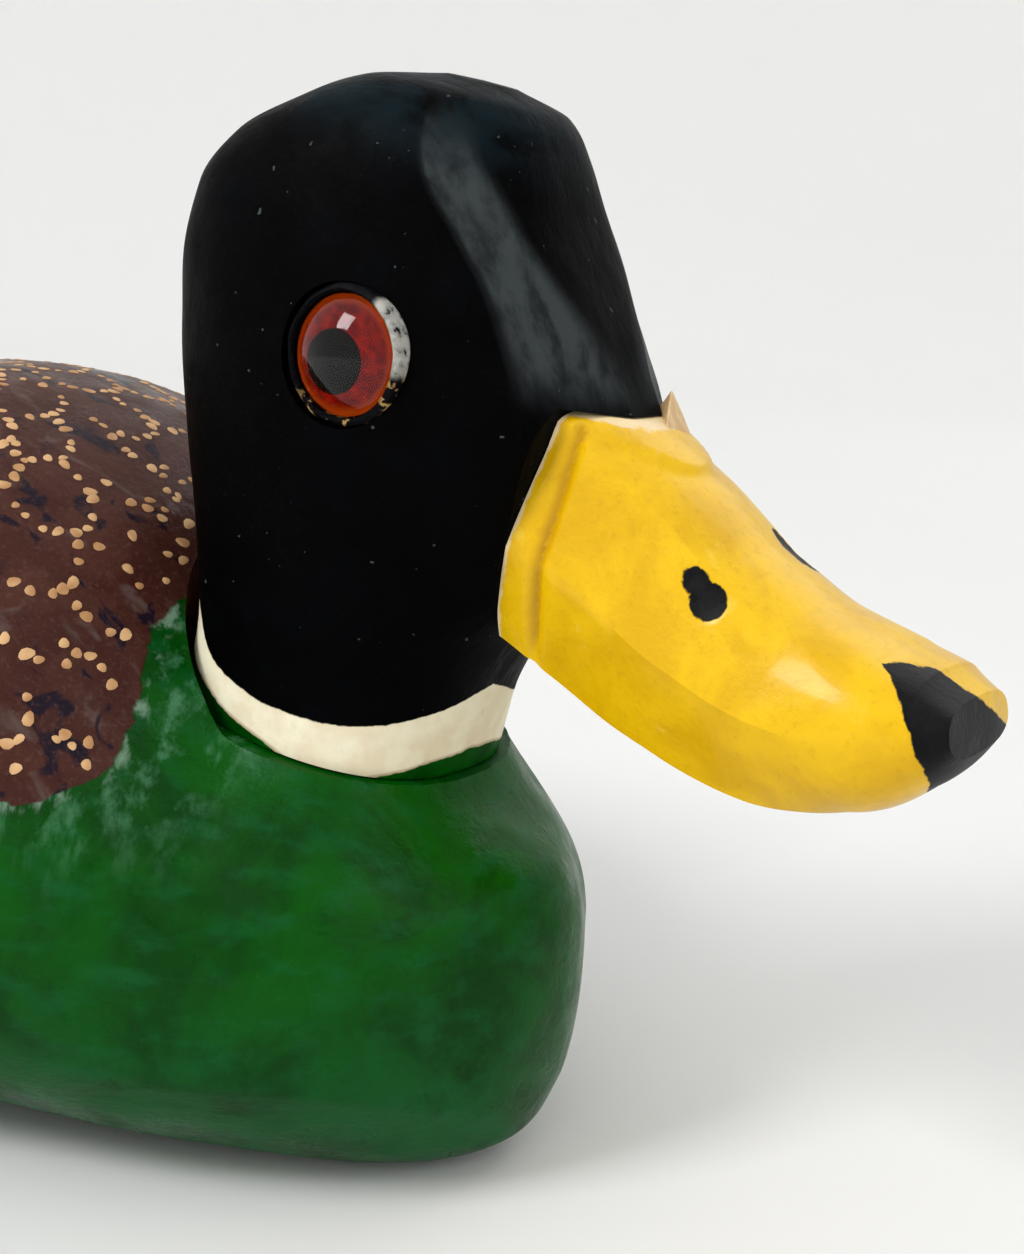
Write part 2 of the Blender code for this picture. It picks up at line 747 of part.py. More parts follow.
washer_top = -NECK_WALL - GAP
washer_bottom = washer_top - NUT_WASHER_THICKNESS
nut_top = washer_bottom - GAP
nut_bottom = nut_top - NUT_HEIGHT
bolt_bottom = nut_bottom - BOLT_TAIL
washer(
    "nut_washer", NUT_WASHER_RADIUS, BOLT_RADIUS + GAP, washer_bottom, washer_top, STEEL, swivel, 24
)
neck_nut = mesh_object(
    "neck_nut", bore("neck_nut", NUT_RADIUS, nut_bottom, nut_top, 6), STEEL, swivel
)
cut(neck_nut, bore("nut_thread", BOLT_RADIUS + GAP, nut_bottom - PAST, nut_top + PAST, 16), swivel)
bolt_tip = 0.0015
mesh_object(
    "neck_bolt",
    turned(
        "neck_bolt",
        [
            (0, bolt_bottom),
            (BOLT_RADIUS - 0.0004, bolt_bottom),
            (BOLT_RADIUS, bolt_bottom + 0.0006),
            (BOLT_RADIUS, BOLT_IN_HEAD - bolt_tip),
            (BOLT_RADIUS * 0.5, BOLT_IN_HEAD),
            (0, BOLT_IN_HEAD),
        ],
        16,
    ),
    STEEL,
    swivel,
)

# ---------------------------------------------------------------- eyes


def dome_profile():
    """A flat back, a short rim and a domed face."""
    bulge = (GLASS_RADIUS**2 + GLASS_DOME**2) / (2 * GLASS_DOME)
    spread = math.asin(GLASS_RADIUS / bulge)
    profile = [(0, -GLASS_RIM), (GLASS_RADIUS, -GLASS_RIM)]
    steps = 6
    for i in range(steps):
        angle = spread * (1 - i / steps)
        profile.append((bulge * math.sin(angle), GLASS_DOME - bulge * (1 - math.cos(angle))))
    profile.append((0, GLASS_DOME))
    return profile


iris_face = -GLASS_RIM - GAP
iris_back = iris_face - IRIS_THICKNESS
putty_floor = iris_back - GAP
putty_back = putty_floor - PUTTY_FLOOR
putty_profile = [
    (WIRE_RADIUS + GAP, putty_back),
    (PUTTY_RADIUS, putty_back),
    (PUTTY_RADIUS, PUTTY_PROUD),
    (PUTTY_BORE, PUTTY_PROUD),
    (PUTTY_BORE, putty_floor),
    (WIRE_RADIUS + GAP, putty_floor),
]
wire_face = putty_floor - GAP
eye_meshes = {
    "eye_glass": (turned("eye_glass", dome_profile(), 32), EYE_GLASS),
    "eye_iris": (bore("eye_iris", IRIS_RADIUS, iris_back, iris_face, 28), IRIS_PAINT),
    "eye_putty": (turned("eye_putty", putty_profile, 32), PUTTY),
    "eye_wire": (bore("eye_wire", WIRE_RADIUS, wire_face - WIRE_LENGTH, wire_face, 10), STEEL),
}
socket = bore("eye_socket", PUTTY_RADIUS + GAP, putty_back - GAP, 0.012, 32)
wire_hole = bore(
    "eye_wire_hole", WIRE_RADIUS + GAP, wire_face - WIRE_LENGTH - GAP, putty_back + 0.001, 10
)
for side_name, side in (("right", -1), ("left", 1)):
    centre = (EYE_X, side * EYE_FACE_Y, EYE_Z)
    turn = (-side * math.pi / 2, 0, 0)
    for piece, (mesh, material) in eye_meshes.items():
        mesh_object(f"{piece}_{side_name}", mesh, material, swivel, centre, turn)
    cut(head, socket, swivel, centre, turn)
    cut(head, wire_hole, swivel, centre, turn)
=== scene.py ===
"""The floating duck decoy's looks: carved and painted wood, glass eyes and metal fittings.

Lengths are metres. Body shapes are given ahead of the swivel axis, head and bill shapes in the
swivel's own frame: ahead of the axis, towards the duck's left, and over the seat along the axis.
"""

import json
import math
import random

import bmesh
import bpy
import numpy as np
from mathutils import Matrix, Vector, noise
from mathutils.bvhtree import BVHTree


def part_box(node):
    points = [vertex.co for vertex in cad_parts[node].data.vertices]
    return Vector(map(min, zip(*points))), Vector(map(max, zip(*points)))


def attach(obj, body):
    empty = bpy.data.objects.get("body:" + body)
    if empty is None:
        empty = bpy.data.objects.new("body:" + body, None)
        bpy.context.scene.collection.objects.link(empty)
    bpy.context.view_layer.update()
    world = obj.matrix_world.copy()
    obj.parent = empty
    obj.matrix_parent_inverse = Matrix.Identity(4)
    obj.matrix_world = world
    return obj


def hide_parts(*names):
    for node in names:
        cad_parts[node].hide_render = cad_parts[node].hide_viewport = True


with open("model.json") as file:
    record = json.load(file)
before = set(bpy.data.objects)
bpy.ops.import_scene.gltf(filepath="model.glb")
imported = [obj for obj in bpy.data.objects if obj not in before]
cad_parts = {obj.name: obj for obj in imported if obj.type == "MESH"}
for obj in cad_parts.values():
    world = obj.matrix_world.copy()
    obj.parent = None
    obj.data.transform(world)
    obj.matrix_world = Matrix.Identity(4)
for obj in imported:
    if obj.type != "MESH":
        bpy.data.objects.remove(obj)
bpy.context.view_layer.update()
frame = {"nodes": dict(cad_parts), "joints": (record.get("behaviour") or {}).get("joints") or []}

GAP = 0.0003

# ---------------------------------------------------------------- frame

swivel_joint = next(j for j in frame["joints"] if j["name"] == "head_swivel")
NECK_X, _, SEAT_HEIGHT = swivel_joint["pos_m"]
NECK_TILT = math.atan2(swivel_joint["axis"][0], swivel_joint["axis"][2])
SWIVEL = Matrix.Translation((NECK_X, 0, SEAT_HEIGHT)) @ Matrix.Rotation(NECK_TILT, 4, "Y")
DECOY = Matrix.Translation((NECK_X, 0, 0))

# ---------------------------------------------------------------- shape tables

NECK_RADIUS = 0.0200
NECK_POWER = 2.6
BODY_SECTIONS = (
    (-0.250, 0.010, 0.058, 0.052, 0.055),
    (-0.225, 0.026, 0.062, 0.027, 0.045),
    (-0.170, 0.054, 0.080, 0.000, 0.040),
    (-0.110, 0.066, 0.093, -0.003, 0.040),
    (-0.060, 0.064, 0.0972, -0.003, 0.038),
    (-0.042, 0.060, 0.0925, -0.003, 0.037),
    (-0.025, 0.053, 0.083, -0.0025, 0.034),
    (-0.012, 0.048, 0.069, -0.002, 0.032),
    (0.000, 0.042, 0.055, -0.0015, 0.030),
    (0.019, 0.028, 0.046, -0.0005, 0.028),
    (0.030, 0.0145, 0.042, 0.004, 0.0275),
    (0.035, 0.001, 0.034, 0.026, 0.030),
)
BODY_POWER_ABOVE = 2.15
BODY_POWER_BELOW = 2.3
BODY_RINGS = 150
BODY_CROWDING = 1.55  # gathers rings at the breast
BODY_SIDES = 128
BODY_UNEVENNESS = 0.00022
SEARCH_STEPS = 26
ROUND_TAIL = (-0.232, -0.222)
ROUND_BREAST = (0.027, 0.031)
TAIL_LIP = 0.0018
TAIL_SHRINK = 0.35
FOOT_SLOPE = 0.52
FOOT_CURVE = -5.0
FOOT_DEPTH = 0.030
FOOT_BLEND = 0.006
HULL_EDGE = 0.0012

HEAD_SECTIONS = (
    (0.0000, -0.0200, 0.0200, 0.0200, 2.6),
    (0.0085, -0.0196, 0.0203, 0.0200, 2.6),
    (0.0190, -0.0216, 0.0232, 0.0210, 2.6),
    (0.0330, -0.0268, 0.0318, 0.0222, 2.7),
    (0.0470, -0.0308, 0.0350, 0.0226, 2.8),
    (0.0560, -0.0321, 0.0290, 0.0225, 2.8),
    (0.0640, -0.0313, 0.0225, 0.0217, 2.8),
    (0.0710, -0.0272, 0.0174, 0.0200, 2.7),
    (0.0768, -0.0195, 0.0140, 0.0172, 2.5),
    (0.0810, -0.0120, 0.0108, 0.0125, 2.4),
    (0.0830, -0.0040, 0.0050, 0.0035, 2.2),
)
HEAD_RINGS = 110
HEAD_CROWDING = 1.6
HEAD_WAIST_BACK = 0.001
HEAD_UNEVENNESS = 0.00018
# Edges of the planed cheek and of the brow's bevel, degrees round from the front by height.
CHEEK_EDGES = (
    (0.030, 4.0, 42.0, 84.0),
    (0.050, 4.0, 40.0, 82.0),
    (0.0548, 6.0, 38.0, 82.0),
    (0.0610, 13.0, 38.7, 82.0),
    (0.0669, 23.0, 45.0, 84.0),
    (0.0709, 30.0, 53.6, 88.0),
    (0.0760, 42.0, 62.0, 92.0),
    (0.0830, 50.0, 72.0, 98.0),
)
CHEEK_STEPS = (10, 14, 18, 22)
CHEEK_FLATNESS = (0, 0.92, 0.80, 0)

BILL_SECTIONS = (
    (0.00, 0.0100, 0.0388, 0.0134, 0.0138, 0.0155, 3.2),
    (0.22, 0.0260, 0.0378, 0.0136, 0.0140, 0.0168, 3.2),
    (0.40, 0.0374, 0.0346, 0.0139, 0.0134, 0.0170, 2.8),
    (0.57, 0.0494, 0.0301, 0.0145, 0.0120, 0.0157, 2.5),
    (0.73, 0.0614, 0.0280, 0.0146, 0.0104, 0.0142, 2.4),
    (0.87, 0.0710, 0.0286, 0.0140, 0.0084, 0.0106, 2.6),
    (0.96, 0.0774, 0.0302, 0.0122, 0.0062, 0.0064, 2.8),
    (1.00, 0.0808, 0.0316, 0.0095, 0.0030, 0.0030, 2.8),
)
BILL_RINGS = 200
BILL_CROWDING = 1.45
BILL_UNEVENNESS = 0.00012
BILL_FACETS = (-90, -58, -4, 45, 90)  # ridges round a section, degrees above level
BILL_FACET_STEPS = (10, 16, 16, 12)
BILL_FLATNESS = 0.84
BILL_SEAT = (
    (0.0255, 0.010),
    (0.0255, 0.026),
    (0.0280, 0.0512),
    (0.0357, 0.0513),
    (0.0368, 0.066),
)

EYE_X = 0.0042
EYE_Z = 0.0508
EYE_FACE_Y = 0.0215
GLASS_RADIUS = 0.0070
GLASS_RIM = 0.0010
GLASS_DOME = 0.0030
GLASS_ARRIS = 0.0002
GLASS_STEPS = 20
IRIS_RADIUS = 0.0066
IRIS_THICKNESS = 0.0005
PUTTY_RADIUS = 0.0082
PUTTY_BORE = 0.0073
PUTTY_FLOOR = 0.0020
IRIS_FACE = -GLASS_RIM + 0.0001  # the paint is on the glass, so no air lies between

# ---------------------------------------------------------------- numbers


def smooth_table(rows):
    """A function of the first column that gives the others, through a monotone cubic."""
    table = np.array(rows, float)
    at, values = table[:, 0], table[:, 1:]
    rise = np.diff(values, axis=0) / np.diff(at)[:, None]
    before, after = rise[:-1], rise[1:]
    total = np.where(before + after == 0, 1, before + after)
    slope = np.zeros_like(values)
    slope[1:-1] = np.where(before * after > 0, 2 * before * after / total, 0)
    slope[0], slope[-1] = rise[0], rise[-1]

    def read(x):
        x = np.clip(np.asarray(x, float), at[0], at[-1])
        k = np.clip(np.searchsorted(at, x) - 1, 0, len(at) - 2)
        width = (at[k + 1] - at[k])[..., None]
        t = ((x - at[k]) / (at[k + 1] - at[k]))[..., None]
        low = (1 + 2 * t) * (1 - t) ** 2 * values[k] + t * (1 - t) ** 2 * width * slope[k]
        high = t * t * (3 - 2 * t) * values[k + 1] - t * t * (1 - t) * width * slope[k + 1]
        return low + high

    return read


def signed_power(value, power):
    return np.sign(value) * np.abs(value) ** power


def step(low, high, x):
    t = np.clip((x - low) / (high - low), 0, 1)
    return t * t * (3 - 2 * t)


def smooth_min(a, b, reach):
    mix = np.clip(0.5 + (b - a) / (2 * reach), 0, 1)
    return b * (1 - mix) + a * mix - reach * mix * (1 - mix)


def smooth_max(a, b, reach):
    return -smooth_min(-a, -b, reach)


def wander(points, size, seed):
    """Smooth noise from -1 to 1 at each point, with features of a given size."""
    shift = Vector((seed * 3.7, seed * 1.3, seed * 2.1))
    return np.array([noise.noise(Vector(p) / size + shift) for p in points])


# ---------------------------------------------------------------- mesh helpers


def link(item):
    bpy.context.scene.collection.objects.link(item)
    return item


def build_object(name, verts, faces, smooth_angle=35):
    shape = bmesh.new()
    made = [shape.verts.new(v) for v in verts]
    for face in faces:
        shape.faces.new([made[i] for i in face])
    bmesh.ops.recalc_face_normals(shape, faces=shape.faces)
    mesh = bpy.data.meshes.new(name)
    shape.to_mesh(mesh)
    shape.free()
    mesh.shade_smooth()
    mesh.set_sharp_from_angle(angle=math.radians(smooth_angle))
    return link(bpy.data.objects.new(name, mesh))


def skin(rings, start=None, end=None):
    """Vertices and faces of a skin through rings, closed by a point or by a flat cap."""
    count, sides = rings.shape[:2]
    verts = [tuple(p) for p in rings.reshape(-1, 3)]
    faces = []
    for i in range(count - 1):
        for j in range(sides):
            k = (j + 1) % sides
            faces.append((i * sides + j, i * sides + k, (i + 1) * sides + k, (i + 1) * sides + j))
    for row, tip in ((0, start), (count - 1, end)):
        loop = [row * sides + j for j in range(sides)]
        if tip is None:
            faces.append(tuple(loop))
            continue
        verts.append(tuple(tip))
        for j in range(sides):
            faces.append((loop[j], loop[(j + 1) % sides], len(verts) - 1))
    return verts, faces


def turned(name, profile, sides=64, smooth_angle=35):
    """A solid of revolution about Z, from (radius, height) points."""
    verts, loops = [], []
    for radius, height in profile:
        count = 1 if radius == 0 else sides
        loops.append(list(range(len(verts), len(verts) + count)))
        for i in range(count):
            angle = 2 * math.pi * i / sides
            verts.append((radius * math.cos(angle), radius * math.sin(angle), height))
    pairs = list(zip(loops, loops[1:]))
    if profile[0][0] != 0:
        pairs.append((loops[-1], loops[0]))
    faces = []
    for low, high in pairs:
        for i in range(sides):
            j = (i + 1) % sides
            corners = [low[i % len(low)], low[j % len(low)]]
            corners += [high[j % len(high)], high[i % len(high)]]
            faces.append(list(dict.fromkeys(corners)))
    return build_object(name, verts, faces, smooth_angle)


def prism(name, outline, start, end, plane="xy"):
    rows = []
    for w in (start, end):
        rows.append([(u, v, w) if plane == "xy" else (u, w, v) for u, v in outline])
    return build_object(name, *skin(np.array(rows)))


def put(item, matrix):
    """Bakes a place into the mesh."""
    item.data.transform(matrix)
    return item


def carve(item, cutters, smooth_angle=35):
    """Takes the cutters' shapes out of a piece for good."""
    for tool in cutters:
        boolean = item.modifiers.new(tool.name, "BOOLEAN")
        boolean.operation = "DIFFERENCE"
        boolean.solver = "EXACT"
        boolean.object = tool
    ready = item.evaluated_get(bpy.context.evaluated_depsgraph_get())
    mesh = bpy.data.meshes.new_from_object(ready)
    item.modifiers.clear()
    item.data = mesh
    for tool in cutters:
        bpy.data.objects.remove(tool, do_unlink=True)
    mesh.shade_smooth()
    mesh.set_sharp_from_angle(angle=math.radians(smooth_angle))


def coordinates(item):
    co = np.zeros(len(item.data.vertices) * 3)
    item.data.vertices.foreach_get("co", co)
    return co.reshape(-1, 3)


def move(item, points):
    item.data.vertices.foreach_set("co", points.ravel())
    item.data.update()


def local(points, matrix):
    inverse = np.array(matrix.inverted())
    return points @ inverse[:3, :3].T + inverse[:3, 3]


def paint_field(item, name, values):
    """Stores a number at every vertex, for the material to read."""
    field = item.data.attributes.new(name, "FLOAT", "POINT")
    field.data.foreach_set("value", np.asarray(values, np.float32))


# ---------------------------------------------------------------- material helpers


class Paint:
    """A Principled material and short names for its nodes."""

    def __init__(self, name):
        self.material = bpy.data.materials.new(name)
        self.material.use_nodes = True
        self.tree = self.material.node_tree
        self.shader = self.tree.nodes["Principled BSDF"]
        self.coords = self.tree.nodes.new("ShaderNodeTexCoord").outputs["Object"]

    def set(self, **values):
        names = {"colour": "Base Color", "ior": "IOR", "specular": "Specular IOR Level"}
        for key, value in values.items():
            socket = self.shader.inputs[names.get(key, key.replace("_", " ").title())]
            self.feed(socket, value)
        return self

    def feed(self, socket, value):
        if isinstance(value, bpy.types.NodeSocket):
            self.tree.links.new(value, socket)
        elif isinstance(value, tuple) and len(value) == 3 and socket.type == "RGBA":
            socket.default_value = (*value, 1.0)
        else:
            socket.default_value = value

    def node(self, kind, inputs=None, **settings):
        made = self.tree.nodes.new(kind)
        for key, value in settings.items():
            setattr(made, key, value)
        for key, value in (inputs or {}).items():
            self.feed(made.inputs[key], value)
        return made

    def stretch(self, scale, turn=(0, 0, 0)):
        """Coordinates scaled per axis, after a turn."""
        made = self.node("ShaderNodeMapping", {"Vector": self.coords, "Rotation": turn})
        made.inputs["Scale"].default_value = scale
        return made.outputs["Vector"]

    def noise(self, size, detail=4.0, roughness=0.55, vector=None, warp=0.0):
        """Noise from 0 to 1 with features of about a given size in metres."""
        inputs = {"Vector": vector or self.coords, "Scale": 1 / size, "Detail": detail}
        inputs.update({"Roughness": roughness, "Distortion": warp})
        return self.node("ShaderNodeTexNoise", inputs).outputs["Fac"]

    def field(self, name):
        return self.node("ShaderNodeAttribute", attribute_name=name).outputs["Fac"]

    def math(self, operation, a, b=0.0, c=0.0):
        made = self.node("ShaderNodeMath", {0: a, 1: b, 2: c}, operation=operation)
        return made.outputs[0]

    def times(self, a, b):
        return self.math("MULTIPLY", a, b)

    def distance(self, point):
        inputs = {0: self.coords, 1: tuple(point)}
        return self.node("ShaderNodeVectorMath", inputs, operation="DISTANCE").outputs["Value"]

    def band(self, value, low, high, to_low=0.0, to_high=1.0):
        """Smooth change of a number from one level to another."""
        inputs = {"Value": value, "From Min": low, "From Max": high}
        inputs.update({"To Min": to_low, "To Max": to_high})
        kind = "SMOOTHSTEP"
        return self.node("ShaderNodeMapRange", inputs, interpolation_type=kind).outputs[0]

    def mix(self, share, a, b):
        made = self.node("ShaderNodeMix", data_type="RGBA")
        for index, value in ((0, share), (6, a), (7, b)):
            self.feed(made.inputs[index], value)
        return made.outputs[2]

    def edge(self, name, width=0.00012, ragged=0.0004, size=0.0012):
        """1 where a painted field is above zero, with a brushed edge."""
        shake = self.math("MULTIPLY_ADD", self.noise(size, 3.0), ragged * 2, -ragged)
        value = self.math("ADD", self.field(name), shake)
        return self.band(value, -width, width)

    def bump(self, *layers):
        """Relief from (height, depth in metres) layers."""
        total = None
        for height, depth in layers:
            part = self.times(height, depth)
            total = part if total is None else self.math("ADD", total, part)
        made = self.node("ShaderNodeBump", {"Height": total, "Distance": 1.0, "Strength": 1.0})
        self.tree.links.new(made.outputs[0], self.shader.inputs["Normal"])
        return self


DEEP_GREEN, LEAF_GREEN = (0.0004, 0.038, 0.0010), (0.0006, 0.072, 0.0008)


def end_grain(p, stretch):
    fibre = p.noise(0.002, 4.0, 0.6, p.stretch(stretch))
    return p.mix(fibre, (0.30, 0.17, 0.07), (0.50, 0.32, 0.16))


def dress(item, paint, body, slot, *replaced):
    item.data.materials.clear()
    item.data.materials.append(paint.material)
    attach(item, body)
    if replaced:
        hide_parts(*replaced)
    return item


# ---------------------------------------------------------------- camera, floor and light

CAMERA_AZIMUTH = math.radians(32.48)
CAMERA_ELEVATION = math.radians(11.6)
CAMERA_ROLL = math.radians(2.81)
CAMERA_DISTANCE = 0.2153
CAMERA_TARGET = Vector((NECK_X + 0.03123, -0.00895, 0.07324))
CAMERA_LENS = 52.07
CAMERA_FILM = 36.0

back = Vector(
    (
        math.sin(CAMERA_AZIMUTH) * math.cos(CAMERA_ELEVATION),
        -math.cos(CAMERA_AZIMUTH) * math.cos(CAMERA_ELEVATION),
        math.sin(CAMERA_ELEVATION),
    )
)
level = Vector((math.cos(CAMERA_AZIMUTH), math.sin(CAMERA_AZIMUTH), 0))
upright = back.cross(level)
right = level * math.cos(CAMERA_ROLL) + upright * math.sin(CAMERA_ROLL)
up = upright * math.cos(CAMERA_ROLL) - level * math.sin(CAMERA_ROLL)
camera_data = bpy.data.cameras.new("camera")
camera_data.lens = CAMERA_LENS
camera_data.sensor_width = CAMERA_FILM
camera_data.clip_start = 0.01
camera = link(bpy.data.objects.new("camera", camera_data))
camera.matrix_world = Matrix.Translation(CAMERA_TARGET + CAMERA_DISTANCE * back) @ Matrix(
    (right, up, back)
).transposed().to_4x4()
bpy.context.scene.camera = camera
bpy.context.scene.view_settings.view_transform = "Standard"

FLOOR_RADIUS = 1.4
SWEEP_RADIUS = 1.2
sweep = [(FLOOR_RADIUS, 0)]
for i in range(1, 13):
    bend = math.pi / 2 * i / 12
    sweep.append(
        (FLOOR_RADIUS + SWEEP_RADIUS * math.sin(bend), SWEEP_RADIUS * (1 - math.cos(bend)))
    )
sweep.append((FLOOR_RADIUS + SWEEP_RADIUS, 3.0))
floor_verts, floor_faces = [], []
FLOOR_SIDES = 96
FLOOR_DROP = 0.0002  # keeps the floor off the flat underside
for radius, height in sweep:
    for i in range(FLOOR_SIDES):
        angle = 2 * math.pi * i / FLOOR_SIDES
        x, y = radius * math.cos(angle), radius * math.sin(angle)
        floor_verts.append((x, y, height - FLOOR_DROP))
for row in range(len(sweep) - 1):
    for i in range(FLOOR_SIDES):
        j = (i + 1) % FLOOR_SIDES
        low, high = row * FLOOR_SIDES, (row + 1) * FLOOR_SIDES
        floor_faces.append((low + i, low + j, high + j, high + i))
floor_faces.append(tuple(range(FLOOR_SIDES)))
floor = build_object("floor", floor_verts, floor_faces, 60)
p = floor_paint = Paint("floor_paper")
from_middle = p.distance((0, 0, 0))
near_tone = p.mix(p.noise(0.4, 2.0), (0.785, 0.785, 0.780), (0.800, 0.800, 0.795))
p.set(
    colour=p.mix(p.band(from_middle, 0.3, 1.8), near_tone, (0.94, 0.94, 0.93)),
    roughness=0.9,
    specular=0.1,
)
floor.data.materials.append(floor_paint.material)

world = bpy.data.worlds.new("studio")
world.use_nodes = True
world.node_tree.nodes["Background"].inputs["Color"].default_value = (1.0, 1.0, 1.0, 1.0)
world.node_tree.nodes["Background"].inputs["Strength"].default_value = 0.93
bpy.context.scene.world = world


def soft_light(name, place, aim, size, power, colour=(1.0, 1.0, 1.0)):
    data = bpy.data.lights.new(name, "AREA")
    data.size = size
    data.energy = power
    data.color = colour
    item = link(bpy.data.objects.new(name, data))
    item.location = place
    item.rotation_euler = (Vector(place) - Vector(aim)).to_track_quat("Z", "Y").to_euler()


MIDDLE = (NECK_X, 0, 0.07)
soft_light("key", (-0.30, -0.85, 0.85), MIDDLE, 0.40, 8.0)
soft_light("fill", (1.25, -0.35, 0.85), MIDDLE, 0.7, 2.0)
soft_light("rim", (0.3, 1.1, 0.95), MIDDLE, 0.7, 2.0)

# ---------------------------------------------------------------- body


def body_section(x):
    """Half width, heights above and below the widest place, and that place's height."""
    rounded, plain = round_table(x), plain_table(x)
    size = np.sqrt(np.maximum(rounded[..., :3], 1e-9))
    share = (1 - step(*ROUND_TAIL, x) + step(*ROUND_BREAST, x))[..., None]
    size = plain[..., :3] * (1 - share) + size * share
    return size[..., 0], size[..., 1], size[..., 2], plain[..., 3]


round_table = smooth_table(
    [(x, w * w, (t - m) ** 2, (m - u) ** 2, m) for x, w, t, u, m in BODY_SECTIONS]
)
plain_table = smooth_table([(x, w, t - m, m - u, m) for x, w, t, u, m in BODY_SECTIONS])


def body_field(x, y, z):
    """Negative inside the body: its section and the neck's flared foot, blended."""
    half_width, above, below, waist = body_section(x)
    rise = z - waist
    reach = np.where(rise > 0, above, below)
    power = np.where(rise > 0, BODY_POWER_ABOVE, BODY_POWER_BELOW)
    size = (np.abs(y / half_width) ** power + np.abs(rise / reach) ** power) ** (1 / power)
    hull = (size - 1) * np.minimum(half_width, reach)
    up_seat = z - SEAT_HEIGHT
    ahead = x * math.cos(NECK_TILT) - up_seat * math.sin(NECK_TILT)
    depth = -(x * math.sin(NECK_TILT) + up_seat * math.cos(NECK_TILT))
    under = np.maximum(depth, 0)
    foot_radius = NECK_RADIUS + FOOT_SLOPE * under + FOOT_CURVE * under**2
    spread = (np.abs(ahead) ** NECK_POWER + np.abs(y) ** NECK_POWER) ** (1 / NECK_POWER)
    foot = np.maximum(np.maximum(spread - foot_radius, -depth - GAP), depth - FOOT_DEPTH)
    return smooth_max(smooth_min(hull, foot, 2 * FOOT_BLEND), -z, HULL_EDGE)


def body_stations():
    """Ring positions: dense at the neck and breast, bunched where both ends round off."""
    front, tail = BODY_SECTIONS[-1][0], BODY_SECTIONS[0][0]
    share = np.linspace(0, 1, BODY_RINGS)
    inner = tail + (front - tail) * (1 - (1 - share) ** BODY_CROWDING)
    return np.unique(np.concatenate([inner, tail + np.array([0.0002, 0.0006, 0.0012])]))


def body_rings():
    x = body_stations()[:, None]
    half_width, above, below, waist = body_section(x)
    angle = (np.arange(BODY_SIDES) * 2 * math.pi / BODY_SIDES)[None, :]
    across = half_width * np.cos(angle)
    along = np.where(np.sin(angle) > 0, above, below) * np.sin(angle)
    inside, outside = np.zeros_like(across), np.full_like(across, 2.0)
    for _ in range(SEARCH_STEPS):
        middle = (inside + outside) / 2
        within = body_field(x + 0 * across, middle * across, waist + middle * along) < 0
        inside = np.where(within, middle, inside)
        outside = np.where(within, outside, middle)
    shrink = 1 - TAIL_SHRINK * (1 - step(0, TAIL_LIP, x - BODY_SECTIONS[0][0])) ** 2
    y = inside * across * shrink
    z = waist + inside * along * shrink
    return np.stack([x + 0 * across, y, np.maximum(z, 0)], -1)


def plan_outline(x_back, x_front, half_width, sides=64, power=3.0):
    middle, half_length = (x_back + x_front) / 2, (x_front - x_back) / 2
    angle = np.arange(sides) * 2 * math.pi / sides
    x = middle + half_length * signed_power(np.cos(angle), 2 / power)
    y = half_width * signed_power(np.sin(angle), 2 / power)
    return list(zip(x, y))


BOARD_BACK, BOARD_FRONT = (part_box("bottom_board")[i][0] - NECK_X for i in (0, 1))
BOARD_HALF_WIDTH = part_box("bottom_board")[1][1]
BOARD_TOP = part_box("bottom_board")[1][2]
BOARD_LEDGE = 0.009
CAVITY = (-0.200, 0.010, 0.016, 0.024)  # back, front, wall, floor
SWING_PROFILE = ((0.0230, 0.008), (0.0243, 0.019), (0.0264, 0.027), (0.0302, 0.060))
SWING_FILLET = 0.0011
NECK_WALL = 0.0140
BOLT_HOLE = 0.0028
BOLT_IN_HEAD = 0.0283
NUT_POCKET = (0.011, 0.028)  # radius, depth under the seat
WASHER_SEAT = (0.0168, 0.0018)  # radius, height
PAST = 0.004  # how far a cutter starts outside its piece
TIE_RECESS_X = 0.0020
TIE_RECESS_RADIUS = 0.0125
TIE_RECESS_DEPTH = 0.0090


def drill(name, radius, low, high, sides=64):
    """A cylinder along the swivel axis."""
    outline = [(0, low), (radius, low), (radius, high), (0, high)]
    return put(turned(name, outline, sides), SWIVEL)


def cavity_rings():
    x = np.linspace(CAVITY[0], CAVITY[1], 16)[:, None]
    half_width, above, below, waist = body_section(x)
    angle = (np.arange(24) * 2 * math.pi / 24)[None, :]
    y = (half_width - CAVITY[2]) * signed_power(np.cos(angle), 0.8)
    reach = np.where(np.sin(angle) > 0, above - CAVITY[2], waist - CAVITY[3])
    return np.stack([x + 0 * y, y, waist + reach * signed_power(np.sin(angle), 0.8)], -1)


body_wood = put(build_object("body_wood", *skin(body_rings())), DECOY)
swing = [(0, 0)]
for i in range(5):
    bend = math.pi / 2 * i / 4
    swing.append(
        (
            SWING_PROFILE[0][0] - SWING_FILLET * (1 - math.sin(bend)),
            SWING_FILLET * (1 - math.cos(bend)),
        )
    )
swing += [*SWING_PROFILE, (0, SWING_PROFILE[-1][1])]
recess = [(0, -0.01), (TIE_RECESS_RADIUS + 0.0012, -0.01), (TIE_RECESS_RADIUS + 0.0012, 0.0002)]
recess += [(TIE_RECESS_RADIUS, 0.0014), (TIE_RECESS_RADIUS - 0.0004, TIE_RECESS_DEPTH - 0.001)]
recess += [(TIE_RECESS_RADIUS - 0.0016, TIE_RECESS_DEPTH), (0, TIE_RECESS_DEPTH)]
board_hole = plan_outline(BOARD_BACK - GAP, BOARD_FRONT + GAP, BOARD_HALF_WIDTH + GAP)
hatch_hole = plan_outline(
    BOARD_BACK + BOARD_LEDGE, BOARD_FRONT - BOARD_LEDGE, BOARD_HALF_WIDTH - BOARD_LEDGE
)
